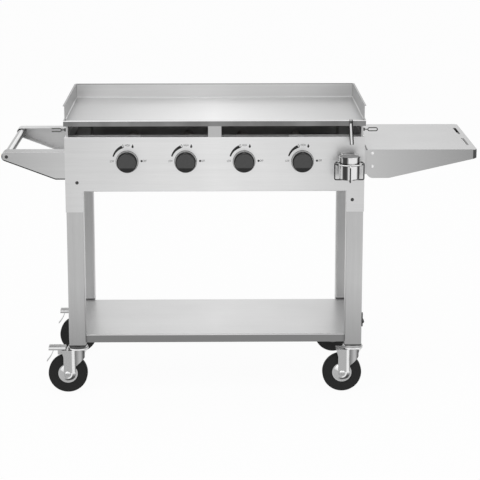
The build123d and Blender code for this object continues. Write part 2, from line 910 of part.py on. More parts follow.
def knob(x):
    """Round skirt with a raised face that peaks at the pointer and is cut flat below."""
    with BuildPart() as dial:
        with BuildSketch(front_plane(knob_back)):
            with Locations((x, knob_z)):
                Circle(knob_radius)
        extrude(amount=knob_skirt)
        fillet(edges().group_by(Axis.Y)[0], knob_edge)
        with BuildSketch(front_plane(knob_back - knob_skirt)):
            with Locations((x, knob_z)):
                Circle(knob_face_radius)
            tangent = knob_face_radius**2 / knob_peak
            half_chord = sqrt(knob_face_radius**2 - tangent**2)
            with BuildLine():
                Polyline(
                    (x - half_chord, knob_z + tangent),
                    (x, knob_z + knob_peak),
                    (x + half_chord, knob_z + tangent),
                    close=True,
                )
            make_face()
            with Locations((x, knob_z - knob_chin)):
                Rectangle(
                    2 * knob_radius,
                    knob_radius,
                    align=(Align.CENTER, Align.MAX),
                    mode=Mode.SUBTRACT,
                )
        extrude(amount=knob_length - knob_skirt, taper=knob_draft)
        fillet(faces().sort_by(Axis.Y)[0].edges(), knob_edge)
        with BuildSketch(front_plane(knob_back)):
            flatted_round(x, stem_radius + stem_fit, stem_flat + stem_fit)
        extrude(amount=knob_bore_depth, mode=Mode.SUBTRACT)
    return dial


for number, x in enumerate(knob_x, start=1):
    save(valve_stem(x), f"valve_stem_{number}")
    save(knob(x), f"knob_{number}")

# Wire holder for the grease cup: uprights welded outside a ring, and two hangers
with BuildPart() as cup_holder:
    cup_y = -cup_forward
    upright_top = ring_z + weld_overlap
    cross_z = base_wire_z - cross_drop
    wire(
        [
            (cup_x - upright_radius, cup_y, upright_top),
            (cup_x - upright_radius, cup_y, base_wire_z),
            (cup_x + upright_radius, cup_y, base_wire_z),
            (cup_x + upright_radius, cup_y, upright_top),
        ],
        wire_radius,
        wire_bend,
    )
    wire(
        [
            (cup_x, cup_y - upright_radius, upright_top),
            (cup_x, cup_y - upright_radius, cross_z),
            (cup_x, cup_y + upright_radius, cross_z),
            (cup_x, cup_y + upright_radius, upright_top),
        ],
        wire_radius,
        wire_bend,
    )
    hanger_y = cup_y + sqrt(upright_radius**2 - (hanger_spacing / 2) ** 2)
    for side in (-1, 1):
        hanger_x = cup_x + side * hanger_spacing / 2
        wire(
            [
                (hanger_x, hanger_y, ring_z - weld_overlap),
                (hanger_x, hanger_y, hanger_z),
                (hanger_x, sheet, hanger_z),
            ],
            wire_radius,
            hanger_bend,
        )
    with Locations((cup_x, cup_y, ring_z)):
        Torus(ring_radius, ring_wire)
save(cup_holder, "cup_holder")

with BuildPart() as grease_cup:
    with BuildSketch(Plane.XZ.offset(cup_forward)):
        with BuildLine():
            FilletPolyline(
                (cup_x, cup_bottom + cup_wall / 2),
                (cup_x + cup_radius - cup_wall / 2, cup_bottom + cup_wall / 2),
                (cup_x + cup_radius - cup_wall / 2, cup_bottom + cup_height - cup_rim),
                radius=2 * cup_wall,
            )
        trace(line_width=cup_wall)
        with Locations((cup_x + cup_radius, cup_bottom + cup_height - cup_rim)):
            Circle(cup_rim)
    revolve(axis=Axis((cup_x, -cup_forward, 0), (0, 0, 1)))
save(grease_cup, "grease_cup")

# Tool hooks on the outer ends of the griddle bars: an open fork and a closed loop
with BuildPart() as tool_hooks:
    low = hook_z - hook_width / 2
    high = hook_z + hook_width / 2
    corner = hook_width / 2 - hook_wire / 10
    for side in (-1, 1):
        start = side * (bar_x + bar_thickness / 2)
        bend_x = start + side * (hook_boss_height + hook_shank)
        middle_x = bend_x + side * hook_length / 2
        tip_x = bend_x + side * hook_length
        root = Plane((start, hook_y, hook_z), x_dir=(0, 1, 0), z_dir=(side, 0, 0))
        with BuildSketch(root):
            Circle(hook_boss)
        extrude(amount=hook_boss_height)
        with BuildSketch(root):
            Circle(hook_wire)
        extrude(amount=hook_boss_height + hook_shank)
        ends = [(middle_x, bend_x), (middle_x, tip_x)] if side > 0 else [(tip_x, bend_x)]
        for free_x, turn_x in ends:
            prongs = [(free_x, hook_y, high), (turn_x, hook_y, high), (turn_x, hook_y, low), (free_x, hook_y, low)]
            wire(prongs, hook_wire, corner)
save(tool_hooks, "tool_hooks")

# Hose clip on the front right leg: a rounded plate with a half ring
with BuildPart() as hose_clip:
    clip_x = leg_x + leg_size / 2
    clip_y = leg_front_y - clip_forward
    with BuildSketch(side_plane(clip_x)):
        with Locations((clip_y, clip_z)):
            RectangleRounded(clip_width, clip_height, clip_plate)
    extrude(amount=clip_plate)
    with BuildSketch(front_plane(clip_y + clip_width / 2)) as ring:
        with Locations((clip_x + clip_plate / 2, clip_z - clip_drop)):
            Circle(clip_depth)
            Circle(clip_depth - clip_wall, mode=Mode.SUBTRACT)
            Rectangle(2 * clip_depth, 2 * clip_depth, align=(Align.MAX, Align.CENTER), mode=Mode.SUBTRACT)
    extrude(amount=clip_width)
save(hose_clip, "hose_clip")

# Castors, built with the swivel axis on z and the wheel trailing towards -x
castors = {
    "front_left": Location((-leg_x, leg_front_y, 0)),
    "front_right": Location((leg_x, leg_front_y, 0)),
    "rear_left": Location((-leg_x, leg_rear_y, 0)),
    "rear_right": Location((leg_x, leg_rear_y, 0)),
}
braked = ("front_left", "rear_left")
fork_half = fork_inner / 2 + fork_sheet
axle_axis = Axis((-trail, 0, wheel_radius), (0, 1, 0))
wheel_plane = Plane((-trail, 0, wheel_radius), x_dir=(0, 0, 1), z_dir=(-1, 0, 0))

with BuildPart() as castor_head:
    with BuildSketch(Plane.XZ):
        with BuildLine():
            pin_low = fork_top - fork_plate - swivel_gap
            Polyline(
                (0, castor_height + stem_length),
                (king_radius, castor_height + stem_length),
                (king_radius, castor_height),
                (head_radius, castor_height),
                (head_radius, castor_height - head_height),
                (king_radius, castor_height - head_height),
                (king_radius, pin_low),
                (king_head_radius, pin_low),
                (king_head_radius, pin_low - king_head),
                (0, pin_low - king_head),
                close=True,
            )
        make_face()
    revolve(axis=Axis.Z)
    with BuildSketch(Plane.XY.offset(castor_height + leg_floor)):
        RegularPolygon(nut_hex / 2, 6, major_radius=False)
    extrude(amount=nut_height)

with BuildPart() as castor_heads:
    for place in castors.values():
        add(castor_head.part.moved(place))
save(castor_heads, "castor_heads")


def castor_fork(with_brake):
    """Pressed fork: two stepped side plates, a round nose, a top plate, a front lip and a bearing race."""
    heel_radius = fork_arm / 2
    heel_x = -trail + fork_arm_lead
    wall_low = wheel_radius - heel_radius
    plate_back = pedal_root + pedal_gap if with_brake else -fork_back

    def section(back, wall):
        """Plan of the fork set in by one wall: straight sides, a rounded step, then the round nose."""
        side = fork_half - wall
        nose = fork_nose - wall
        step_x = fork_ridge + fork_step - wall / 2
        step_y = sqrt(nose**2 - step_x**2)
        with BuildSketch() as plan:
            with BuildLine():
                Polyline((step_x, -step_y), (fork_ridge - wall / 2, -side), (back, -side))
                Line((back, -side), (back, side))
                Polyline((back, side), (fork_ridge - wall / 2, side), (step_x, step_y))
                ThreePointArc((step_x, step_y), (nose, 0), (step_x, -step_y))
            make_face()
            ridge = [v for v in plan.vertices() if back < v.X < fork_ridge + wall]
            fillet(ridge, fork_ridge_round - wall / 2)
        return plan.sketch

    with BuildPart() as fork:
        with BuildSketch(Plane.XY.offset(wall_low)):
            add(section(-fork_back, 0))
            add(section(-fork_back, fork_sheet), mode=Mode.SUBTRACT)
        extrude(amount=fork_top - wall_low)
        with BuildSketch(Plane.XY.offset(fork_top - fork_plate)):
            add(section(plate_back, 0))
        extrude(amount=fork_plate)
        with BuildSketch(Plane.XZ):
            with BuildLine():
                Polyline(
                    (-fork_back, fork_top),
                    (heel_x - heel_radius, fork_waist_z),
                    (heel_x - heel_radius, wheel_radius),
                    (heel_x + heel_radius, wheel_radius),
                    (heel_x + heel_radius, wheel_radius + fork_throat),
                    (fork_nose - fork_sheet, fork_shoulder_z),
                    (fork_nose, fork_shoulder_z + fork_sheet),
                    (fork_nose, fork_top),
                    close=True,
                )
            make_face()
            with Locations((heel_x, wheel_radius)):
                Circle(heel_radius)
        extrude(amount=fork_half, both=True, mode=Mode.INTERSECT)
        with BuildSketch(Plane.XZ):
            with BuildLine():
                Polyline(
                    (fork_nose - fork_sheet, race_top - race_height),
                    (fork_nose - fork_sheet, race_top - race_height - fork_lip_drop),
                    (fork_lip, race_top - race_height),
                    close=True,
                )
            make_face()
        extrude(amount=fork_lip_width / 2, both=True)
        with BuildSketch(Plane.XZ):
            with BuildLine():
                Polyline(
                    (0, fork_top - fork_plate),
                    (race_neck, fork_top),
                    (race_radius, race_top - race_height),
                    (race_radius, race_top),
                    (0, race_top),
                    close=True,
                )
            make_face()
        revolve(axis=Axis.Z)
        with BuildSketch(Plane.XY.offset(fork_top - fork_plate)):
            Circle(king_radius + king_fit)
        extrude(amount=race_top - fork_top + fork_plate, mode=Mode.SUBTRACT)
        drill(-trail, wheel_radius, axle_radius + axle_fit, -fork_half, fork_half)
        if with_brake:
            drill(pedal_pivot_x, pedal_pivot_z, pedal_pin + pedal_fit, -fork_half, fork_half)
    return fork


with BuildPart() as castor_axle:
    with BuildSketch(Plane.XZ):
        with Locations((-trail, wheel_radius)):
            Circle(axle_radius)
    extrude(amount=fork_half + axle_head, both=True)
    for side in (-1, 1):
        with BuildSketch(Plane((-trail, side * fork_half, wheel_radius), x_dir=(1, 0, 0), z_dir=(0, side, 0))):
            RegularPolygon(axle_hex / 2, 6, major_radius=False)
        extrude(amount=axle_head)

with BuildPart() as castor_hub:
    with BuildSketch(wheel_plane):
        with BuildLine():
            hub_end = fork_inner / 2 - hub_gap
            rim_half = hub_rim_width / 2
            rim_inside = hub_radius - hub_rim
            Polyline(
                (axle_radius + axle_fit, -hub_end),
                (hub_boss_radius, -hub_end),
                (rim_inside, -rim_half),
                (hub_radius, -rim_half),
                (hub_radius, rim_half),
                (rim_inside, rim_half),
                (hub_boss_radius, hub_end),
                (axle_radius + axle_fit, hub_end),
                close=True,
            )
        make_face()
    revolve(axis=axle_axis)

with BuildPart() as castor_tyre:
    with BuildSketch(wheel_plane):
        with Locations(((hub_radius + tyre_fit + wheel_radius) / 2, 0)):
            Rectangle(wheel_radius - hub_radius - tyre_fit, tyre_width)
        fillet(vertices().group_by(Axis.X)[-1], tyre_round)
        chamfer(vertices().group_by(Axis.X)[0], (tyre_width - hub_rim_width) / 2)
    revolve(axis=axle_axis)

# Foot brake on the two left castors: pedal, pivot pin, brake shoe and release lever
with BuildPart() as brake_pedal:
    half_pedal = pedal_width / 2
    inside = pedal_top - pedal_sheet
    block(pedal_tip, pedal_root, -half_pedal, half_pedal, pedal_top - pedal_skirt, pedal_top)
    block(
        pedal_tip + pedal_sheet,
        pedal_root,
        pedal_sheet - half_pedal,
        half_pedal - pedal_sheet,
        pedal_top - pedal_skirt,
        inside,
        Mode.SUBTRACT,
    )
    for side in (-1, 1):
        with BuildSketch(Plane.XZ.offset(-side * half_pedal)):
            with Locations((pedal_pivot_x, pedal_pivot_z)):
                Circle(pedal_cheek)
                Rectangle(2 * pedal_cheek, inside - pedal_pivot_z, align=(Align.CENTER, Align.MIN))
        extrude(amount=side * pedal_sheet)
    with BuildSketch(Plane.XZ):
        with Locations((pedal_pivot_x, pedal_pivot_z)):
            Circle(pedal_pin)
    extrude(amount=fork_half, both=True)
    block(shoe_front, shoe_back, -shoe_width / 2, shoe_width / 2, shoe_bottom, inside)
    with BuildSketch(Plane.XZ):
        with BuildLine():
            ThreePointArc(*[(x, fork_top + z) for x, z in (lever_top, lever_bulge, lever_end)])
        trace(line_width=lever_sheet)
    extrude(amount=lever_width / 2, both=True)

for name, place in castors.items():
    save(castor_fork(name in braked), f"{name}_castor_fork", place)
    save(castor_axle, f"{name}_castor_axle", place)
    save(castor_hub, f"{name}_castor_hub", place)
    save(castor_tyre, f"{name}_castor_tyre", place)
    if name in braked:
        save(brake_pedal, f"{name}_brake_pedal", place)
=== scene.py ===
import math

import bpy
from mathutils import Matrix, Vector


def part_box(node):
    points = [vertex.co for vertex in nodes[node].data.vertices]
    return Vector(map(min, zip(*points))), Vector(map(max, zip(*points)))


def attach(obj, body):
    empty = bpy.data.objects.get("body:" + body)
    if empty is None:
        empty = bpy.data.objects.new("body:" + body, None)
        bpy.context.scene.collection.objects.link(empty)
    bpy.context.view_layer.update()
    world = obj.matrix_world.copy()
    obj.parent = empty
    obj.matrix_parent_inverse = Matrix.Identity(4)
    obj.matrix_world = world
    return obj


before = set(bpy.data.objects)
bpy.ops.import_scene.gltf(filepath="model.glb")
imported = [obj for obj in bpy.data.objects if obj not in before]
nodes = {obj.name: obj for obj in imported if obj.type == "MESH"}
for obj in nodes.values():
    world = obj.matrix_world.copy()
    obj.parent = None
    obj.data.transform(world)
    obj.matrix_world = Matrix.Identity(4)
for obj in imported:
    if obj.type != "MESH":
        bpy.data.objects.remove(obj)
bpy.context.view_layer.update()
print("frame loaded:", len(nodes), "nodes")


# shader maths: a socket that can be added, multiplied and compared
class Wire:
    def __init__(self, home, socket):
        self.home = home
        self.socket = socket

    def other(self, out):
        return Wire(self.home, self.socket.node.outputs[out])

    def maths(self, operation, a, b=0.0):
        return self.home.add("ShaderNodeMath", {"operation": operation}, {0: a, 1: b})

    def __add__(self, other):
        return self.maths("ADD", self, other)

    def __radd__(self, other):
        return self.maths("ADD", other, self)

    def __sub__(self, other):
        return self.maths("SUBTRACT", self, other)

    def __rsub__(self, other):
        return self.maths("SUBTRACT", other, self)

    def __mul__(self, other):
        return self.maths("MULTIPLY", self, other)

    def __rmul__(self, other):
        return self.maths("MULTIPLY", other, self)

    def __truediv__(self, other):
        return self.maths("DIVIDE", self, other)

    def __rtruediv__(self, other):
        return self.maths("DIVIDE", other, self)

    def __pow__(self, other):
        return self.maths("POWER", self, other)

    def __gt__(self, other):
        return self.maths("GREATER_THAN", self, other)

    def __lt__(self, other):
        return self.maths("LESS_THAN", self, other)

    def __abs__(self):
        return self.maths("ABSOLUTE", self)

    def atLeast(self, low):
        return self.maths("MAXIMUM", self, low)

    def sine(self):
        return self.maths("SINE", self)

    def cosine(self):
        return self.maths("COSINE", self)

    def angle(self, other):
        return self.maths("ARCTAN2", self, other)

    def reach(self, other):
        return (self * self + other * other) ** 0.5

    def wrap(self, low, high):
        return self.home.add("ShaderNodeMath", {"operation": "WRAP"}, {0: self, 1: high, 2: low})

    def ramp(self, low, high):
        span = {0: self, 1: low, 2: high, 3: 0.0, 4: 1.0}
        return self.home.add("ShaderNodeMapRange", {"interpolation_type": "SMOOTHSTEP"}, span)

    # grey levels by place, from the first place in the list to the last
    def tones(self, levels):
        low, high = levels[0][0], levels[-1][0]
        stops = [((place - low) / (high - low), grey(level)) for place, level in levels]
        return self.home.add("ShaderNodeValToRGB", {"stops": stops}, {0: (self - low) / (high - low)})


class Tree:
    def __init__(self, tree):
        self.tree = tree

    def add(self, kind, settings=None, inputs=None, out=0):
        node = self.tree.nodes.new(kind)
        for key, value in (settings or {}).items():
            if key == "stops":
                while len(node.color_ramp.elements) < len(value):
                    node.color_ramp.elements.new(0.5)
                for element, (position, colour) in zip(node.color_ramp.elements, value):
                    element.position = position
                    element.color = colour
            else:
                setattr(node, key, value)
        for key, value in (inputs or {}).items():
            if isinstance(value, Wire):
                self.tree.links.new(value.socket, node.inputs[key])
            else:
                node.inputs[key].default_value = value
        return Wire(self, node.outputs[out]) if node.outputs else None


class Finish(Tree):
    def __init__(self, name, **constants):
        self.material = bpy.data.materials.new(name)
        self.material.use_nodes = True
        super().__init__(self.material.node_tree)
        self.shader = self.tree.nodes["Principled BSDF"]
        self.spot = self.add("ShaderNodeTexCoord", out="Object")
        self.x, self.y, self.z = self.split(self.spot)
        self.give(**constants)

    def split(self, vector):
        first = self.add("ShaderNodeSeparateXYZ", {}, {0: vector})
        return first, first.other(1), first.other(2)

    def facing(self):
        return self.split(self.spot.other("Normal"))

    def give(self, **values):
        for key, value in values.items():
            socket = self.shader.inputs[key.replace("_", " ")]
            if isinstance(value, Wire):
                self.tree.links.new(value.socket, socket)
            else:
                socket.default_value = value

    def noise(self, stretch, detail):
        spread = self.add("ShaderNodeMapping", {}, {"Vector": self.spot, "Scale": stretch})
        return self.add("ShaderNodeTexNoise", {}, {"Vector": spread, "Scale": 1.0, "Detail": detail})

    def blend(self, factor, dark, light):
        return self.add("ShaderNodeMix", {"data_type": "RGBA"}, {0: factor, 6: dark, 7: light}, 2)

    def bump(self, height, strength, distance):
        lift = {"Strength": strength, "Distance": distance, "Height": height}
        return self.add("ShaderNodeBump", {}, lift)


def grey(level):
    return (level, level, level, 1.0)


finishes = {}

# brushed stainless: fine and coarse lines along the grain over cloudy patches
brush = {
    "along": (5, 260, 260),
    "upright": (260, 260, 5),
    "across": (260, 5, 260),
    "fine": 3.4,
    "coarse": 0.35,
    "fineShare": 0.45,
    "patch": (4.5, 4.5, 4.5),
    "roughSpread": 0.06,
    "lift": 0.16,
    "deep": 0.0004,
}


def brushed(name, look, fade=None, tint=None):
    steel = Finish(name, Metallic=look.get("metallic", 1.0))
    stretch = brush[look["grain"]]
    fine = steel.noise(tuple(brush["fine"] * s for s in stretch), 2.0)
    coarse = steel.noise(tuple(brush["coarse"] * s for s in stretch), 3.0)
    patch = steel.noise(brush["patch"], 3.0)
    lines = fine * brush["fineShare"] + coarse * (1 - brush["fineShare"])
    spread = look["streak"] + look["cloud"]
    shade = lines * (look["streak"] / spread) + patch * (look["cloud"] / spread)

    def tone(level):
        return steel.blend(shade, grey(level * (1 - 2 * spread)), grey(level * (1 + 2 * spread)))

    colour = tone(look["level"])
    if fade:
        colour = steel.blend(fade(steel), colour, tone(look["far"]))
    if tint:
        colour = tint(steel, colour)
    steel.give(
        Base_Color=colour,
        Roughness=look["rough"] - brush["roughSpread"] + lines * (2 * brush["roughSpread"]),
        Normal=steel.bump(lines, brush["lift"], brush["deep"]),
    )
    return steel.material


# a tint of flat grey where the test holds
def darker(test, level):
    def tint(steel, colour):
        return steel.blend(test(steel), colour, grey(level))

    return tint


# a fade from one place to another along an axis
def fadeAlong(axis, start, end):
    return lambda steel: (getattr(steel, axis) - start) / (end - start)


bodyMiddle = -0.0785  # centre line of the body
bodyHalf = 0.47
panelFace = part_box("front_panel")[0].y


def offMiddle(steel):
    return abs(steel.x - bodyMiddle)


# the long sheets change in tone from the middle towards both ends, as painted light: most are painted
# lighter in the middle as a broad highlight
def outward(steel):
    return offMiddle(steel) / bodyHalf


# folded body panels: the middle tab is in the rim's shade, the end tabs catch the light
panel = {
    "level": 0.82,
    "far": 0.66,
    "grain": "along",
    "rough": 0.34,
    "streak": 0.05,
    "cloud": 0.04,
    "tabFoot": 0.846,
    "middleTab": 0.46,
    "endTab": 0.97,
}


def tabTint(steel, colour):
    tab = steel.blend(outward(steel) > 0.5, grey(panel["middleTab"]), grey(panel["endTab"]))
    return steel.blend((steel.z > panel["tabFoot"]) * 0.85, colour, tab)


finishes["panel"] = brushed("bodySteel", panel, outward, tabTint)

# side panels, painted dark on the inside as shade
sidePanel = {
    "level": 0.56,
    "grain": "across",
    "rough": 0.36,
    "streak": 0.05,
    "cloud": 0.04,
    "inside": 0.4743,
}
panelInsideShade = darker(lambda steel: offMiddle(steel) < sidePanel["inside"], 0.03)
finishes["sidePanel"] = brushed("sideSteel", sidePanel, None, panelInsideShade)

# griddle plate: ground top, a bright front edge as a painted highlight over a rim painted dark as a
# reflection, with lighter mottled patches along it
plate = {
    "level": 0.89,
    "far": 0.48,
    "grain": "along",
    "rough": 0.3,
    "streak": 0.012,
    "cloud": 0.025,
    "rimTop": 0.8968,
    "rimDeep": 0.0012,
    "edgeDeep": 0.0035,
    "rimMottle": (9, 2, 2),
}


# the rim's dark tone is a painted reflection with mottled patches; the front edge is a painted highlight
def rimPaintedLight(steel, colour):
    rimMottle = steel.noise(plate["rimMottle"], 3.0).ramp(0.35, 0.7)
    rim = (steel.z < plate["rimTop"]) * (steel.y < panelFace + plate["rimDeep"])
    edge = (steel.z > plate["rimTop"]) * (steel.y < panelFace + plate["edgeDeep"])
    edged = steel.blend(edge, colour, grey(0.95))
    return steel.blend(rim, edged, steel.blend(rimMottle, grey(0.18), grey(0.27)))


finishes["plate"] = brushed("griddleSteel", plate, outward, rimPaintedLight)

# splash guard: painted darker on the sides and along the hem as shade
guard = {
    "level": 0.67,
    "far": 0.74,
    "grain": "along",
    "rough": 0.34,
    "streak": 0.04,
    "cloud": 0.04,
    "side": 0.4705,
    "hem": 0.9446,
}


def guardShadeTint(steel, colour):
    sided = steel.blend(offMiddle(steel) > guard["side"], colour, grey(0.5))
    return steel.blend(steel.z > guard["hem"], sided, grey(0.36))


finishes["guard"] = brushed("guardSteel", guard, outward, guardShadeTint)

# bars under the griddle and the tray below them
bar = {"level": 0.5, "grain": "across", "rough": 0.4, "streak": 0.06, "cloud": 0.05}
tray = {"level": 0.34, "grain": "along", "rough": 0.4, "streak": 0.06, "cloud": 0.05}
finishes["bar"] = brushed("barSteel", bar)
finishes["tray"] = brushed("traySteel", tray)

# storage shelf with its lip painted dark as a reflection
shelf = {
    "level": 0.75,
    "far": 0.63,
    "grain": "along",
    "rough": 0.34,
    "streak": 0.04,
    "cloud": 0.04,
    "top": 0.194,
    "lipTop": 0.1905,
}
shelfLipReflection = darker(lambda steel: steel.z < shelf["lipTop"], 0.23)
finishes["shelf"] = brushed("shelfSteel", shelf, outward, shelfLipReflection)

# front legs, darker towards the foot
leg = {
    "level": 0.53,
    "far": 0.34,
    "fade": (0.37, 0.15),
    "grain": "upright",
    "rough": 0.36,
    "streak": 0.08,
    "cloud": 0.05,
}
finishes["leg"] = brushed("legSteel", leg, fadeAlong("z", *leg["fade"]))

# rear legs, lighter towards the foot, with a painted contact shadow as a dark band where the shelf closes
# round them
rearLeg = {
    "level": 0.42,
    "far": 0.57,
    "fade": (0.45, 0.2),
    "grain": "upright",
    "rough": 0.38,
    "streak": 0.08,
    "cloud": 0.05,
    "seam": 0.0045,
}
# the dark band is a painted contact shadow on the leg just above the shelf
legContactShadow = darker(lambda steel: (steel.z > shelf["top"]) * (steel.z < shelf["top"] + rearLeg["seam"]), 0.13)
finishes["rearLeg"] = brushed("rearLegSteel", rearLeg, fadeAlong("z", *rearLeg["fade"]), legContactShadow)

# side shelf: the folds are painted darker towards the end, painted dark as shade where the corner turns
# away, and a painted shadow shows in the gap by the body
sideShelf = {
    "level": 0.6,
    "far": 0.56,
    "fade": (0.39, 0.75),
    "grain": "along",
    "rough": 0.34,
    "streak": 0.05,
    "cloud": 0.04,
    "start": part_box("side_shelf")[0].x,
    "foldFront": 0.0006,
    "foldBack": 0.4824,
    "foldTop": 0.8035,
    "corner": 0.7405,
    "slitWide": 0.004,
    "slitLong": 0.09,
}
toEnd = fadeAlong("x", *sideShelf["fade"])


def foldShadeTint(steel, colour):
    fold = (steel.y < panelFace + sideShelf["foldFront"]) + (steel.y > panelFace + sideShelf["foldBack"])
    corner = (steel.x > sideShelf["corner"]) * (steel.z < sideShelf["foldTop"])
    beside = steel.x < sideShelf["start"] + sideShelf["slitWide"]
    slitShadow = beside * (steel.y < panelFace + sideShelf["slitLong"]) * (steel.z > sideShelf["foldTop"])
    folded = steel.blend(fold, colour, steel.blend(toEnd(steel), grey(0.56), grey(0.33)))
    return steel.blend(corner + slitShadow, folded, grey(0.075))


finishes["sideShelf"] = brushed("sideShelfSteel", sideShelf, toEnd, foldShadeTint)

# handle brackets: painted shade as a dark lower fold and tip on the front one, the rear one painted lighter
bracket = {
    "level": 0.58,
    "far": 0.47,
    "fade": (-0.56, -0.74),
    "grain": "along",
    "rough": 0.36,
    "streak": 0.05,
    "cloud": 0.05,
    "corner": -0.5841,
    "tip": -0.7535,
    "low": 0.71,
    "rise": 0.064,
    "foldWide": 0.0042,
    "tipWide": 0.0032,
    "deep": 0.003,
}
rearBracket = {
    "level": 0.68,
    "far": 0.8,
    "grain": "along",
    "rough": 0.4,
    "streak": 0.05,
    "cloud": 0.05,
    "metallic": 0.35,
}
toTip = fadeAlong("x", *bracket["fade"])


def underShadeTint(steel, colour):
    slope = bracket["rise"] / (bracket["corner"] - bracket["tip"])
    underside = ((bracket["corner"] - steel.x) * slope).atLeast(0.0) + bracket["low"]
    fold = (steel.z < underside + bracket["foldWide"]) + (steel.x < bracket["tip"] + bracket["tipWide"])
    return steel.blend(fold * (steel.y < panelFace + bracket["deep"]), colour, grey(0.03))


finishes["bracket"] = brushed("bracketSteel", bracket, toTip, underShadeTint)
finishes["rearBracket"] = brushed("rearBracketSteel", rearBracket, toTip)

# handle tube: a painted reflection, bright on top and dark towards the body, by the angle that its surface
# faces
tube = {
    "level": 0.62,
    "grain": "across",
    "rough": 0.22,
    "streak": 0.05,
    "cloud": 0.04,
    "tones": [(-0.6, 0.02), (0.68, 0.03), (0.76, 0.97), (1.4, 0.97), (1.52, 0.45), (3.2, 0.4)],
}


def tubeReflectionTint(steel, colour):
    right, _, up = steel.facing()
    return steel.blend(0.9, colour, up.angle(right).tones(tube["tones"]))


finishes["tube"] = brushed("handleTubeSteel", tube, None, tubeReflectionTint)


# plated metal; where the test holds it mirrors the dark side of the room
def plated(name, level, rough, shadow=None):
    metal = Finish(name, Metallic=1.0)
    patch = metal.noise((30, 30, 30), 3.0)
    speck = metal.noise((900, 900, 900), 1.0)
    colour = metal.blend(patch, grey(level * 0.9), grey(level * 1.08))
    if shadow:
        colour = metal.blend(shadow(metal), colour, grey(0.05))
    metal.give(
        Base_Color=colour,
        Roughness=rough - 0.04 + patch * 0.08,
        Normal=metal.bump(speck, 0.05, 0.0002),
    )
    return metal.material


# the cup and its holder's ring; the wire is dark below the ring, at its ends and underneath
cup = {
    "x": 0.3445,
    "y": -0.2545,
    "ringEnd": 0.036,
    "ringLow": 0.764,
    "inside": 0.0322,
    "bands": 4.0,
    "bandTurn": 0.454,
    "footHigh": 0.0035,
    "footLight": 0.008,
}


def wireShadow(metal):
    under = metal.facing()[2] < -0.2
    return (metal.z < cup["ringLow"]) + under + (abs(metal.x - cup["x"]) > cup["ringEnd"])


finishes["bright"] = plated("brightWire", 0.8, 0.2, wireShadow)
finishes["hook"] = plated("hookWire", 0.1, 0.26)
finishes["stem"] = plated("stemAluminium", 0.6, 0.25)

# grease cup: bright tin with painted reflections as dark bands drawn up its side and painted shade as a
# dark turn at the foot, dull inside
tin = Finish("cupTinplate")
cupRight = tin.x - cup["x"]
cupFront = cup["y"] - tin.y
cupReflectionBand = (cupRight.angle(cupFront) * cup["bands"] + cup["bandTurn"]).sine()
cupGrain = tin.noise((500, 500, 12), 2.0)
cupShade = (cupReflectionBand * 0.5 + 0.5 + (cupGrain - 0.5) * 0.3).ramp(0.12, 0.5)
cupOutside = cupRight.reach(cupFront) > cup["inside"]
cupFootShade = (tin.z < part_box("grease_cup")[0].z + cup["footHigh"]) * (abs(cupRight) > cup["footLight"])
cupSide = tin.blend(cupFootShade, tin.blend(cupShade, grey(0.05), grey(0.8)), grey(0.06))
tin.give(
    Metallic=cupOutside,
    Base_Color=tin.blend(cupOutside, grey(0.5), cupSide),
    Roughness=0.16 + cupGrain * 0.12,
    Normal=tin.bump(cupGrain, 0.08, 0.0003),
)
finishes["tin"] = tin.material

# drain spout: a painted reflection, a bright gutter between dark edges
spout = {"x": 0.3515, "gutter": 0.0029, "soft": 0.0006}
spoutSteel = Finish("spoutSteel", Metallic=1.0)
spoutOff = abs(spoutSteel.x - spout["x"])
spoutEdgeReflection = spoutOff.ramp(spout["gutter"] - spout["soft"], spout["gutter"] + spout["soft"])
spoutScuff = spoutSteel.noise((300, 20, 20), 2.0)
spoutSteel.give(
    Base_Color=spoutSteel.blend(spoutEdgeReflection, grey(0.9), grey(0.02)),
    Roughness=0.18 + spoutScuff * 0.12,
)
finishes["spout"] = spoutSteel.material

# bolts: painted dark as shade on the body and the handle, painted bright as a highlight on the side shelf
shelfBolts = 0.38  # the bolts from here to the right are on the side shelf
boltSteel = Finish("boltSteel")
boltPatch = boltSteel.noise((300, 300, 300), 2.0)
onShelf = boltSteel.x > shelfBolts
boltSteel.give(
    Metallic=1.0 - onShelf * 0.8,
    Base_Color=boltSteel.blend(onShelf, boltSteel.blend(boltPatch, grey(0.04), grey(0.09)), grey(0.9)),
    Roughness=0.2 + boltPatch * 0.1,
)
finishes["bolt"] = boltSteel.material


# plastics, paint, brass and ink: two tones in soft patches
def toned(name, dark, light, rough, metallic=0.0):
    stuff = Finish(name, Metallic=metallic)
    patch = stuff.noise((60, 60, 60), 3.0)
    speck = stuff.noise((1500, 1500, 1500), 1.0)
    stuff.give(
        Base_Color=stuff.blend(patch, dark, light),
        Roughness=rough - 0.06 + patch * 0.12,
        Normal=stuff.bump(speck, 0.1, 0.0003),
    )
    return stuff.material


finishes["brass"] = toned("valveBrass", (0.55, 0.4, 0.14, 1), (0.7, 0.53, 0.22, 1), 0.3, 1.0)
finishes["pipe"] = toned("blackPipe", grey(0.02), grey(0.035), 0.45)
finishes["clip"] = toned("clipPlastic", grey(0.012), grey(0.02), 0.5)
# a dark band standing in for the shadow at the feet of the legs
finishes["gapShade"] = toned("legGapShadeDark", grey(0.02), grey(0.035), 0.5)
finishes["ink"] = toned("dialInk", grey(0.003), grey(0.006), 0.6)
finishes["paleInk"] = toned("dialInkPale", grey(0.025), grey(0.035), 0.6)

# burners: brown heat tint in patches along the tubes
burnerSteel = Finish("burnerSteel", Metallic=1.0)
burnerHeat = burnerSteel.noise((9, 40, 9), 3.0)
burnerSteel.give(
    Base_Color=burnerSteel.blend(burnerHeat, (0.16, 0.13, 0.11, 1), (0.36, 0.34, 0.33, 1)),
    Roughness=0.34 + burnerHeat * 0.16,
)
finishes["burner"] = burnerSteel.material

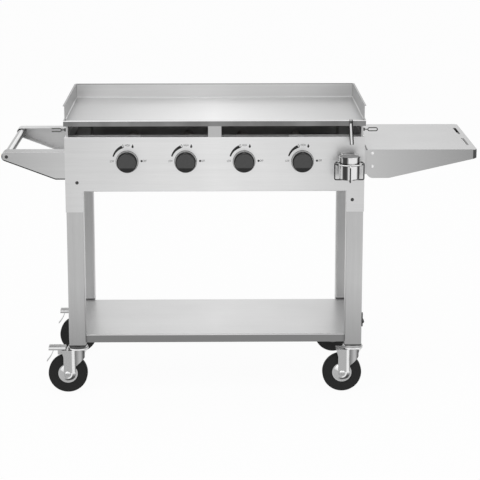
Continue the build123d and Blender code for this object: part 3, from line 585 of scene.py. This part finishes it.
# the row of knobs and bezels, each measured from its own axis
knobRow = {
    "count": 4,
    "first": -0.3563,
    "spacing": 0.1852,
    "height": 0.7675,
    "face": 0.0287,
    "faceFront": -0.2362,
    "faceLow": -0.0145,
    "bezelFlat": 0.0339,
    "bezelEdge": 0.0345,
}


def fromKnob(finish):
    half = knobRow["spacing"] / 2
    return (finish.x - knobRow["first"]).wrap(-half, half), finish.z - knobRow["height"]


# knobs: moulded grey face inside a dark skirt
knobPlastic = Finish("knobPlastic", Specular_IOR_Level=0.4)
knobAcross, knobUp = fromKnob(knobPlastic)
knobDisc = (knobAcross.reach(knobUp) < knobRow["face"]) * (knobUp > knobRow["faceLow"])
knobMottle = knobPlastic.noise((160, 160, 160), 3.0)
knobGrain = knobPlastic.noise((1800, 1800, 1800), 1.0)
knobPlastic.give(
    Base_Color=knobPlastic.blend(
        knobDisc * (knobPlastic.y < knobRow["faceFront"]),
        knobPlastic.blend(knobMottle, grey(0.009), grey(0.014)),
        knobPlastic.blend(knobMottle, grey(0.044), grey(0.068)),
    ),
    Roughness=0.46 + knobMottle * 0.14,
    Normal=knobPlastic.bump(knobGrain, 0.12, 0.0003),
)
finishes["knob"] = knobPlastic.material

# bezels: bright ring with the outer chamfer painted dark as an edge shadow
bezelChrome = Finish("bezelChrome")
bezelAcross, bezelUp = fromKnob(bezelChrome)
bezelOuter = bezelAcross.reach(bezelUp).ramp(knobRow["bezelFlat"], knobRow["bezelEdge"])
bezelGrain = bezelChrome.noise((700, 700, 700), 1.0)
bezelChrome.give(
    Metallic=0.3 + bezelOuter * 0.7,
    Base_Color=bezelChrome.blend(bezelOuter, grey(0.75), grey(0.14)),
    Roughness=0.24 + bezelGrain * 0.1,
)
finishes["bezel"] = bezelChrome.material

# castors: the swivel axis of each, then the wheel measured from it
castors = {
    "front_left": (-0.525, -0.176),
    "front_right": (0.368, -0.176),
    "rear_left": (-0.525, 0.269),
    "rear_right": (0.368, 0.269),
}
wheel = {"trail": 0.034, "axle": 0.0635, "tread": (0.0575, 0.0605), "mouldRings": 1150.0}


def fromAxle(finish, x):
    return finish.x - (x - wheel["trail"]), finish.z - wheel["axle"]


# upper races: in the leg's shade, with light on both ends
race = {"shadeEnd": 0.021, "lightFrom": 0.027}
raceSteel = Finish("raceSteel", Metallic=1.0)
raceSpacing = castors["front_right"][0] - castors["front_left"][0]
raceAcross = (raceSteel.x - castors["front_left"][0]).wrap(-raceSpacing / 2, raceSpacing / 2)
raceGrain = raceSteel.noise((200, 200, 200), 2.0)
raceSteel.give(
    Base_Color=raceSteel.blend(
        abs(raceAcross).ramp(race["shadeEnd"], race["lightFrom"]),
        raceSteel.blend(raceSteel.x > bodyMiddle, grey(0.1), grey(0.45)),
        grey(0.62),
    ),
    Roughness=0.2 + raceGrain * 0.1,
)
finishes["race"] = raceSteel.material


# tyres: matt rubber with mould rings round each wheel's own axle, darkest on the tread
def tyreFinish(name, x):
    rubber = Finish(name + "Rubber", Specular_IOR_Level=0.3)
    right, up = fromAxle(rubber, x)
    out = right.reach(up)
    dust = rubber.noise((90, 90, 90), 4.0)
    pores = rubber.noise((1400, 1400, 1400), 1.0)
    ring = (out * wheel["mouldRings"]).sine().ramp(0.4, 1.0)
    onTread = out.ramp(*wheel["tread"])
    side = rubber.blend(dust * 0.7 + ring * 0.3, grey(0.006), grey(0.015))
    rubber.give(
        Base_Color=rubber.blend(onTread, side, grey(0.005)),
        Roughness=0.58 + dust * 0.16,
        Normal=rubber.bump(ring * 0.6 + pores * 0.2, 0.25, 0.0006),
    )
    return rubber.material


# hubs: a painted highlight at the upper left, painted shade as a dark crescent at the lower right, rims
# painted darker on the rear ones as shade
hub = {
    "highlightTurn": 2.25,
    "shadeTurn": -1.05,
    "shadeInner": (0.012, 0.016),
    "shadeOuter": (0.021, 0.025),
    "rim": (0.0275, 0.0285),
    "frontRim": 0.5,
    "rearRimShade": 0.12,
}


def hubFinish(name, x):
    steel = Finish(name + "HubSteel", Metallic=1.0)
    right, up = fromAxle(steel, x)
    out = right.reach(up)
    angle = up.angle(right)
    # painted highlight sector at the upper left and painted shade crescent at the lower right
    light = (angle - hub["highlightTurn"]).cosine().ramp(0.86, 0.97)
    crescent = out.ramp(*hub["shadeInner"]) * (1.0 - out.ramp(*hub["shadeOuter"]))
    shade = (angle - hub["shadeTurn"]).cosine().ramp(0.35, 0.85) * crescent
    patch = steel.noise((60, 60, 60), 3.0)
    dish = steel.blend(light, steel.blend(patch, grey(0.4), grey(0.5)), grey(0.95))
    rimLevel = hub["frontRim"] if name.startswith("front") else hub["rearRimShade"]
    steel.give(
        Base_Color=steel.blend(out.ramp(*hub["rim"]), steel.blend(shade, dish, grey(0.05)), grey(rimLevel)),
        Roughness=0.18 + patch * 0.1,
    )
    return steel.material


# forks: pressed steel with painted reflections, a painted highlight on the ridge beside the arm, a dark
# painted reflection down the nose, a painted highlight on the crown and round the axle, and painted shade
# low on the arm
fork = {
    "tones": [
        (-0.056, 0.43),
        (-0.021, 0.43),
        (-0.0185, 0.88),
        (-0.0125, 0.9),
        (-0.0085, 0.18),
        (-0.004, 0.28),
        (0.005, 0.5),
        (0.01, 0.46),
        (0.0135, 0.25),
        (0.0165, 0.08),
        (0.0205, 0.05),
        (0.0215, 0.8),
        (0.036, 0.85),
    ],
    "collarHighlight": (0.0105, 0.0115),
    "collarTurn": -0.55,
    "collarTop": 0.004,
    "foot": (0.0145, 0.016),
    "footTurn": -0.95,
    "footTop": 0.002,
    "crownLow": 0.1425,
    "crownEnd": (0.017, 0.025),
}


def forkFinish(name, x):
    zinc = Finish(name + "ForkZinc", Metallic=1.0)
    patch = zinc.noise((40, 40, 40), 3.0)
    # the tones across the fork are painted reflections and highlights
    pressed = (zinc.x - x).tones(fork["tones"])
    right, up = fromAxle(zinc, x)
    out = right.reach(up)
    angle = up.angle(right)
    # a painted highlight round the axle and painted shade on the arm below it
    collarHighlight = out.ramp(*fork["collarHighlight"]) * (angle - fork["collarTurn"]).cosine().ramp(0.3, 0.7)
    foot = out.ramp(*fork["foot"]) * (up < fork["footTop"])
    footTone = zinc.blend((angle - fork["footTurn"]).cosine().ramp(0.5, 0.9), grey(0.48), grey(0.05))
    collared = zinc.blend(collarHighlight * (up < fork["collarTop"]), pressed, grey(0.92))
    footed = zinc.blend(foot, collared, footTone)
    crown = zinc.blend(abs(zinc.x - x).ramp(*fork["crownEnd"]), grey(0.9), grey(0.6))
    crowned = zinc.blend(zinc.z > fork["crownLow"], footed, crown)
    zinc.give(
        Base_Color=zinc.blend(patch * 0.12, crowned, grey(0.5)),
        Roughness=0.2 + patch * 0.12,
    )
    return zinc.material


for name, (x, _) in castors.items():
    finishes[name + "_castor_tyre"] = tyreFinish(name, x)
    finishes[name + "_castor_hub"] = hubFinish(name, x)
    finishes[name + "_castor_fork"] = forkFinish(name, x)

# axle heads, lit from above
axleHead = {"litFrom": 0.002, "litTo": 0.006}
axleSteel = Finish("axleSteel", Metallic=1.0)
axleGrain = axleSteel.noise((400, 400, 400), 2.0)
axleLit = (axleSteel.z - wheel["axle"]).ramp(axleHead["litFrom"], axleHead["litTo"])
axleSteel.give(
    Base_Color=axleSteel.blend(axleLit, grey(0.42), grey(0.95)),
    Roughness=0.2 + axleGrain * 0.1,
)
finishes["axle"] = axleSteel.material

# brake pedals: dull ribbed top, a painted highlight as a light line along the upper edge of the skirt
skirt = {"lineLow": 0.148, "lineSoft": 0.0012}
pedalZinc = Finish("pedalZinc", Metallic=1.0)
pedalWear = pedalZinc.noise((70, 70, 70), 3.0)
pedalTop = pedalZinc.facing()[2] > 0.5
skirtHighlight = (pedalZinc.z - skirt["lineLow"]).ramp(0.0, skirt["lineSoft"])
pedalZinc.give(
    Base_Color=pedalZinc.blend(
        pedalTop,
        pedalZinc.blend(skirtHighlight, grey(0.45), grey(0.92)),
        pedalZinc.blend(pedalWear, grey(0.25), grey(0.5)),
    ),
    Roughness=0.24 + pedalWear * 0.12,
)
finishes["pedal"] = pedalZinc.material

# the finish of each node by its name, or else by a part of its name; the castors' own are named in full
nodeFinish = {
    "front_panel": "panel",
    "rear_panel": "panel",
    "left_side_panel": "sidePanel",
    "right_side_panel": "sidePanel",
    "griddle_plate": "plate",
    "drain_spout": "spout",
    "splash_guard": "guard",
    "griddle_bars": "bar",
    "front_left_leg": "leg",
    "front_right_leg": "leg",
    "rear_left_leg": "rearLeg",
    "rear_right_leg": "rearLeg",
    "bottom_shelf": "shelf",
    "side_shelf": "sideShelf",
    "shelf_brackets": "bracket",
    "front_handle_bracket": "bracket",
    "rear_handle_bracket": "rearBracket",
    "handle_tube": "tube",
    "burner_tray": "tray",
    "cup_holder": "bright",
    "tool_hooks": "hook",
    "grease_cup": "tin",
    "dome_bolts": "bolt",
    "knob_bezels": "bezel",
    "castor_heads": "race",
    "gas_valves": "brass",
    "gas_inlet": "brass",
    "gas_manifold": "pipe",
    "hose_clip": "clip",
}
familyFinish = {
    "burner_": "burner",
    "valve_stem_": "stem",
    "knob_": "knob",
    "_castor_axle": "axle",
    "_brake_pedal": "pedal",
}


def finishOf(name):
    family = next((finish for part, finish in familyFinish.items() if part in name), name)
    return finishes[nodeFinish.get(name, family)]


for name, node in nodes.items():
    node.data.materials.clear()
    node.data.materials.append(finishOf(name))
print("finishes on", len(nodes), "nodes")


# modelling helpers
def clearSelection():
    if bpy.context.object and bpy.context.object.mode != "OBJECT":
        bpy.ops.object.mode_set(mode="OBJECT")
    bpy.ops.object.select_all(action="DESELECT")


def unpick(piece):
    bpy.context.view_layer.objects.active = piece
    bpy.ops.object.mode_set(mode="EDIT")
    bpy.ops.mesh.select_all(action="DESELECT")
    bpy.ops.object.mode_set(mode="OBJECT")


def pick(piece, test):
    unpick(piece)
    bpy.context.tool_settings.mesh_select_mode = (False, False, True)
    for face in piece.data.polygons:
        face.select = test(face)
    bpy.ops.object.mode_set(mode="EDIT")


def pickEdges(piece, test):
    unpick(piece)
    bpy.context.tool_settings.mesh_select_mode = (False, True, False)
    for edge in piece.data.edges:
        edge.select = test(*(piece.data.vertices[v].co for v in edge.vertices))
    bpy.ops.object.mode_set(mode="EDIT")


def settle(piece, name, finish, body, angle=40):
    clearSelection()
    piece.select_set(True)
    bpy.context.view_layer.objects.active = piece
    bpy.ops.object.transform_apply(location=True, rotation=True, scale=True)
    bpy.ops.object.shade_smooth_by_angle(angle=math.radians(angle))
    piece.name = name
    piece.data.name = name
    piece.data.materials.clear()
    piece.data.materials.append(finishes[finish])
    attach(piece, body)
    return piece


def joined(parts):
    clearSelection()
    for part in parts:
        part.select_set(True)
    bpy.context.view_layer.objects.active = parts[0]
    bpy.ops.object.join()
    return bpy.context.object


# printed marks round each knob: tapered arc, two flames, a dot and the words
dial = {
    "print": 0.00018,
    "arcNear": 0.0468,
    "arcFar": 0.0502,
    "arcFrom": 159.0,
    "arcTo": 108.0,
    "arcThin": 0.0042,
    "arcThick": 0.0096,
    "dotRadius": 0.0034,
    "dot": (0.0458, 0.0022),
    "flameWidth": 0.0074,
    "flameHeight": 0.0125,
    "flameWaist": 0.35,
    "flamePinch": 0.85,
    "flameLean": 0.0006,
    "flameHollow": 0.2,
    "highFlame": (0.0176, 0.0502),
    "lowFlame": (-0.0131, 0.0502),
    "letter": 0.0098,
    "words": {  # right and up from the knob's axis, then the width
        "HIGH": (0.0016, 0.0525, 0.0152),
        "OFF": (0.0553, 0.0022, 0.0116),
        "LOW": (-0.0478, 0.0016, 0.0128),
    },
}


def printUp(piece):
    bpy.context.view_layer.objects.active = piece
    bpy.ops.object.mode_set(mode="EDIT")
    bpy.ops.mesh.select_all(action="SELECT")
    bpy.ops.mesh.extrude_region_move(TRANSFORM_OT_translate={"value": (0, -dial["print"], 0)})
    bpy.ops.mesh.select_all(action="SELECT")
    bpy.ops.mesh.normals_make_consistent(inside=False)
    bpy.ops.object.mode_set(mode="OBJECT")
    return piece


def dialArc(x, z):
    clearSelection()
    bpy.ops.mesh.primitive_grid_add(x_subdivisions=26, y_subdivisions=1, size=1.0)
    arc = bpy.context.object
    for vertex in arc.data.vertices:
        along = vertex.co.x + 0.5
        angle = math.radians(dial["arcFrom"] + (dial["arcTo"] - dial["arcFrom"]) * along)
        middle = dial["arcNear"] + (dial["arcFar"] - dial["arcNear"]) * along
        reach = middle + vertex.co.y * (dial["arcThin"] + (dial["arcThick"] - dial["arcThin"]) * along)
        vertex.co = (x + reach * math.cos(angle), panelFace, z + reach * math.sin(angle))
    return printUp(arc)


def dialFlame(x, z, hollow):
    clearSelection()
    bpy.ops.mesh.primitive_circle_add(vertices=28, radius=0.5, fill_type="NGON")
    flame = bpy.context.object
    if hollow:
        bpy.ops.object.mode_set(mode="EDIT")
        bpy.ops.mesh.select_all(action="SELECT")
        bpy.ops.mesh.inset(thickness=dial["flameHollow"])
        bpy.ops.mesh.delete(type="FACE")
        bpy.ops.object.mode_set(mode="OBJECT")
    for vertex in flame.data.vertices:
        rise = vertex.co.y + 0.5
        taper = max(0.0, rise - dial["flameWaist"]) / (1 - dial["flameWaist"])
        width = dial["flameWidth"] * (1 - dial["flamePinch"] * taper)
        lean = dial["flameLean"] * math.sin(rise * 3.0)
        vertex.co = (x + vertex.co.x * width + lean, panelFace, z + vertex.co.y * dial["flameHeight"])
    return printUp(flame)


def dialDot(x, z):
    clearSelection()
    bpy.ops.mesh.primitive_circle_add(vertices=24, radius=dial["dotRadius"], fill_type="NGON")
    dot = bpy.context.object
    for vertex in dot.data.vertices:
        vertex.co = (x + vertex.co.x, panelFace, z + vertex.co.y)
    return printUp(dot)


def dialWord(text, x, z, width):
    clearSelection()
    bpy.ops.object.text_add()
    word = bpy.context.object
    word.data.body = text
    word.data.size = dial["letter"]
    word.data.align_x = "CENTER"
    word.data.align_y = "CENTER"
    word.data.extrude = dial["print"] / 2
    word.data.resolution_u = 3
    bpy.ops.object.convert(target="MESH")
    word = bpy.context.object
    word.scale.x = width / word.dimensions.x
    word.rotation_euler = (math.radians(90), 0, 0)
    word.location = (x, panelFace - dial["print"] / 2, z)
    bpy.ops.object.transform_apply(location=True, rotation=True, scale=True)
    return word


for number in range(knobRow["count"]):
    x = knobRow["first"] + knobRow["spacing"] * number
    z = knobRow["height"]
    marks = [
        dialArc(x, z),
        dialFlame(x + dial["highFlame"][0], z + dial["highFlame"][1], False),
        dialFlame(x + dial["lowFlame"][0], z + dial["lowFlame"][1], True),
        dialDot(x + dial["dot"][0], z + dial["dot"][1]),
    ]
    settle(joined(marks), "dialMarks" + str(number + 1), "ink", "trolley")
    words = [dialWord(text, x + right, z + up, width) for text, (right, up, width) in dial["words"].items()]
    settle(joined(words), "dialWords" + str(number + 1), "paleInk", "trolley")
print("dial marks printed")


# dark bands at the feet of the legs as painted shadow in the gap above the castors
gapShadeBand = {"low": 0.158, "high": 0.1624, "size": 0.0552, "corner": 0.0055, "wall": 0.0011}


def makeGapShade(x, y):
    clearSelection()
    bpy.ops.mesh.primitive_cube_add(size=1.0, location=(x, y, (gapShadeBand["low"] + gapShadeBand["high"]) / 2))
    band = bpy.context.object
    band.scale = (gapShadeBand["size"], gapShadeBand["size"], gapShadeBand["high"] - gapShadeBand["low"])
    bpy.ops.object.transform_apply(location=True, rotation=True, scale=True)
    pick(band, lambda face: abs(face.normal.z) > 0.9)
    bpy.ops.mesh.delete(type="FACE")
    bpy.ops.object.mode_set(mode="OBJECT")
    pickEdges(band, lambda a, b: abs(a.z - b.z) > 0.001)
    bpy.ops.mesh.bevel(offset=gapShadeBand["corner"], segments=5, affect="EDGES")
    bpy.ops.mesh.select_all(action="SELECT")
    bpy.ops.mesh.normals_make_consistent(inside=False)
    bpy.ops.object.mode_set(mode="OBJECT")
    wall = band.modifiers.new("wall", "SOLIDIFY")
    wall.thickness = gapShadeBand["wall"]
    wall.offset = -1
    bpy.ops.object.modifier_apply(modifier="wall")
    return band


for name, place in castors.items():
    settle(makeGapShade(*place), name + "LegShoe", "gapShade", "trolley")
print("leg shoes fitted")


# pieces on a castor are modelled about its swivel axis
def placed(piece, castor):
    piece.location = (*castors[castor], 0)
    return piece


# ribbed tread on the brake pedals
tread = {
    "from": -0.0935,
    "to": -0.0535,
    "width": 0.031,
    "top": 0.15302,
    "ribs": 7,
    "rise": 0.0013,
    "taper": (0.985, 0.9, 1.0),
    "sheet": 0.0004,
}


def pedalTread():
    clearSelection()
    strips = 2 * tread["ribs"] + 1
    bpy.ops.mesh.primitive_grid_add(x_subdivisions=strips, y_subdivisions=1, size=1.0)
    pad = bpy.context.object
    long = tread["to"] - tread["from"]
    height = tread["top"] + tread["sheet"]
    for vertex in pad.data.vertices:
        along = vertex.co.x + 0.5
        vertex.co = (tread["from"] + along * long, vertex.co.y * tread["width"], height)
    pitch = long / strips
    pick(pad, lambda face: int((face.center.x - tread["from"]) / pitch) % 2 == 1)
    bpy.ops.mesh.extrude_region_move(TRANSFORM_OT_translate={"value": (0, 0, tread["rise"])})
    bpy.ops.transform.resize(value=tread["taper"])
    bpy.ops.object.mode_set(mode="OBJECT")
    sheet = pad.modifiers.new("sheet", "SOLIDIFY")
    sheet.thickness = tread["sheet"]
    sheet.offset = -1
    bpy.ops.object.modifier_apply(modifier="sheet")
    return pad


for name in ("front_left", "rear_left"):
    settle(placed(pedalTread(), name), name + "PedalTread", "pedal", name + "_brake")
print("pedal treads fitted")

# domed caps over the axle bolts
axleCap = {
    "radius": 0.0104,
    "from": 0.0226,
    "height": 0.0052,
    "round": 0.0026,
    "dimple": 0.0042,
    "dimpleDeep": 0.0011,
    "dimpleTaper": (0.8, 1.0, 0.8),
}


def capOver(side):
    clearSelection()
    bpy.ops.mesh.primitive_cylinder_add(
        vertices=32,
        radius=axleCap["radius"],
        depth=axleCap["height"],
        location=(-wheel["trail"], side * (axleCap["from"] + axleCap["height"] / 2), wheel["axle"]),
        rotation=(math.radians(-90 * side), 0, 0),
    )
    dome = bpy.context.object
    bpy.ops.object.transform_apply(location=True, rotation=True, scale=True)
    outer = side * (axleCap["from"] + axleCap["height"])
    pick(dome, lambda face: abs(face.center.y - outer) < 0.0005 and len(face.vertices) > 4)
    bpy.ops.mesh.bevel(offset=axleCap["round"], segments=4, affect="EDGES")
    bpy.ops.object.mode_set(mode="OBJECT")
    pick(dome, lambda face: abs(face.center.y - outer) < 0.0001 and len(face.vertices) > 4)
    bpy.ops.mesh.inset(thickness=axleCap["radius"] - axleCap["round"] - axleCap["dimple"])
    inward = (0, -side * axleCap["dimpleDeep"], 0)
    bpy.ops.mesh.extrude_region_move(TRANSFORM_OT_translate={"value": inward})
    bpy.ops.transform.resize(value=axleCap["dimpleTaper"])
    bpy.ops.object.mode_set(mode="OBJECT")
    return dome


for name in castors:
    both = joined([capOver(-1), capOver(1)])
    settle(placed(both, name), name + "AxleCaps", "axle", name + "_castor", 30)
print("axle caps fitted")

# weld bead along the inside foot of the splash guard and up its two corner seams
weld = {
    "radius": 0.0017,
    "swell": 1.2,
    "pitch": 0.0042,
    "in": 0.0006,
    "half": 0.4715,
    "back": 0.2755,
    "front": -0.19,
    "top": 0.9,
    "hem": 0.945,
    "seam": 0.0011,
    "footHigh": 0.0035,
}


def weldRun(length):
    clearSelection()
    bpy.ops.mesh.primitive_cylinder_add(
        vertices=12,
        radius=weld["radius"],
        depth=weld["pitch"],
        end_fill_type="NOTHING",
        rotation=(0, math.radians(90), 0),
    )
    run = bpy.context.object
    bpy.ops.object.transform_apply(location=True, rotation=True, scale=True)
    pickEdges(run, lambda a, b: abs(a.x - b.x) > 0.001)
    bpy.ops.mesh.subdivide(number_cuts=3)
    pickEdges(run, lambda a, b: abs(a.x) < 0.0001 and abs(b.x) < 0.0001)
    bpy.ops.transform.resize(value=(1.0, weld["swell"], weld["swell"]))
    bpy.ops.object.mode_set(mode="OBJECT")
    beads = run.modifiers.new("beads", "ARRAY")
    beads.use_relative_offset = False
    beads.use_constant_offset = True
    beads.constant_offset_displace = (weld["pitch"], 0, 0)
    beads.count = math.ceil(length / weld["pitch"])
    beads.use_merge_vertices = True
    bpy.ops.object.modifier_apply(modifier="beads")
    return run


def weldBead():
    inner = weld["half"] - weld["in"]
    corner = weld["half"] - weld["seam"]
    height = weld["top"] + weld["in"]
    back = weldRun(2 * inner)
    back.location = (bodyMiddle - inner, weld["back"] - weld["in"], height)
    runs = [back]
    for side in (-1, 1):
        run = weldRun(weld["back"] - weld["front"])
        run.rotation_euler = (0, 0, math.radians(90))
        run.location = (bodyMiddle + side * inner, weld["front"], height)
        seam = weldRun(weld["hem"] - weld["top"])
        seam.rotation_euler = (0, math.radians(-90), 0)
        seam.location = (bodyMiddle + side * corner, weld["back"] - weld["seam"], height)
        runs += [run, seam]
    return joined(runs)


# light along the foot, painted darker up the corners as shade
weldSteel = Finish("weldSteel", Metallic=1.0)
weldPatch = weldSteel.noise((250, 250, 250), 3.0)
weldCornerShade = weldSteel.z > weld["top"] + weld["footHigh"]
weldSteel.give(
    Base_Color=weldSteel.blend(weldCornerShade, weldSteel.blend(weldPatch, grey(0.68), grey(0.82)), grey(0.5)),
    Roughness=0.28 + weldPatch * 0.1,
)
finishes["weld"] = weldSteel.material
settle(weldBead(), "guardWeld", "weld", "griddle", 60)
print("weld bead laid")

# thread cut round the gas inlet
thread = {
    "from": 0.4075,
    "to": 0.4255,
    "root": 0.00796,
    "crest": 0.00815,
    "pitch": 0.00141,
    "y": -0.1295,
    "z": 0.735,
    "rings": 104,
    "facets": 36,
    "endDrop": 0.0006,
}


def inletThread():
    clearSelection()
    bpy.ops.mesh.primitive_grid_add(
        x_subdivisions=thread["rings"], y_subdivisions=thread["facets"], size=1.0
    )
    sleeve = bpy.context.object
    for vertex in sleeve.data.vertices:
        along = vertex.co.x + 0.5
        turn = vertex.co.y + 0.5
        angle = 2 * math.pi * turn
        x = thread["from"] + along * (thread["to"] - thread["from"])
        wave = abs(((x / thread["pitch"] - turn) % 1.0) * 2 - 1)
        reach = thread["root"] + (thread["crest"] - thread["root"]) * wave
        if round(along * thread["rings"]) in (0, thread["rings"]):  # the end rings sink into the spigot
            reach = thread["root"] - thread["endDrop"]
        vertex.co = (x, thread["y"] + reach * math.cos(angle), thread["z"] + reach * math.sin(angle))
    bpy.ops.object.mode_set(mode="EDIT")
    bpy.ops.mesh.select_all(action="SELECT")
    bpy.ops.mesh.remove_doubles(threshold=0.00001)
    bpy.ops.mesh.normals_make_consistent(inside=False)
    bpy.ops.object.mode_set(mode="OBJECT")
    return sleeve


settle(inletThread(), "inletThread", "brass", "trolley", 25)
print("inlet thread cut")

# camera at the photograph's angle
shot = {
    "place": (-0.0752, -5.6735, 1.811),
    "pitch": 12.42,
    "turn": -0.80,
    "sensor": 36,
    "focal": 131.775,
    "shift": -0.06,
}
cameraData = bpy.data.cameras.new("camera")
cameraData.sensor_width = shot["sensor"]
cameraData.lens = shot["focal"]
cameraData.shift_y = shot["shift"]
cameraData.clip_end = 100
camera = bpy.data.objects.new("camera", cameraData)
camera.location = shot["place"]
camera.rotation_euler = (math.radians(90 - shot["pitch"]), 0, math.radians(shot["turn"]))
bpy.context.scene.collection.objects.link(camera)
bpy.context.scene.camera = camera

# white floor that keeps a soft shadow
ground = {"size": 80, "paint": 0.94, "glow": 0.95}
clearSelection()
bpy.ops.mesh.primitive_plane_add(size=ground["size"], location=(0, 0, 0))
floor = bpy.context.object
floor.name = "floor"
floorPaint = Finish("floorPaint", Base_Color=grey(ground["paint"]), Roughness=0.9, Specular_IOR_Level=0.0)
rays = floorPaint.add("ShaderNodeLightPath")
seen = rays + rays.other("Is Glossy Ray") + rays.other("Is Transmission Ray") > 0.5
glow = floorPaint.add("ShaderNodeEmission", {}, {"Color": grey(1.0), "Strength": 1.0})
matt = Wire(floorPaint, floorPaint.shader.outputs[0])
lit = floorPaint.add("ShaderNodeMixShader", {}, {0: seen * ground["glow"], 1: matt, 2: glow})
floorPaint.tree.links.new(lit.socket, floorPaint.tree.nodes["Material Output"].inputs["Surface"])
floor.data.materials.append(floorPaint.material)

# pale world for soft fill, brighter where it is mirrored and white where it is seen
studio = {"fill": 0.64, "mirrored": 0.8, "backdrop": 0.98}
world = bpy.data.worlds.new("studio")
world.use_nodes = True
bpy.context.scene.world = world
sky = Tree(world.node_tree)
sky.tree.nodes.clear()
path = sky.add("ShaderNodeLightPath")
mirroring = path.other("Is Glossy Ray") + path.other("Is Transmission Ray") > 0.5
fill = sky.add("ShaderNodeBackground", {}, {"Color": grey(studio["fill"]), "Strength": 1.0})
mirrored = sky.add("ShaderNodeBackground", {}, {"Color": grey(studio["mirrored"]), "Strength": 1.0})
backdrop = sky.add("ShaderNodeBackground", {}, {"Color": grey(studio["backdrop"]), "Strength": 1.0})
unseen = sky.add("ShaderNodeMixShader", {}, {0: mirroring, 1: fill, 2: mirrored})
chosen = sky.add("ShaderNodeMixShader", {}, {0: path, 1: unseen, 2: backdrop})
sky.add("ShaderNodeOutputWorld", {}, {0: chosen})

# lamps, all turned to the middle of the barbecue
lamps = {
    "key": {"place": (-2.4, -3.2, 3.6), "size": 4.2, "power": 55},
    "fillRight": {"place": (3.0, -2.6, 2.6), "size": 3.8, "power": 30},
    "rear": {"place": (0.2, 3.6, 3.2), "size": 2.6, "power": 10},
}
lampTarget = Vector((0, 0, 0.7))
for name, lamp in lamps.items():
    light = bpy.data.lights.new(name, "AREA")
    light.size = lamp["size"]
    light.energy = lamp["power"]
    stand = bpy.data.objects.new(name, light)
    stand.location = lamp["place"]
    stand.visible_camera = False
    stand.rotation_euler = (lampTarget - Vector(lamp["place"])).to_track_quat("-Z", "Y").to_euler()
    bpy.context.scene.collection.objects.link(stand)

bpy.context.scene.view_settings.view_transform = "Standard"
print("scene ready")
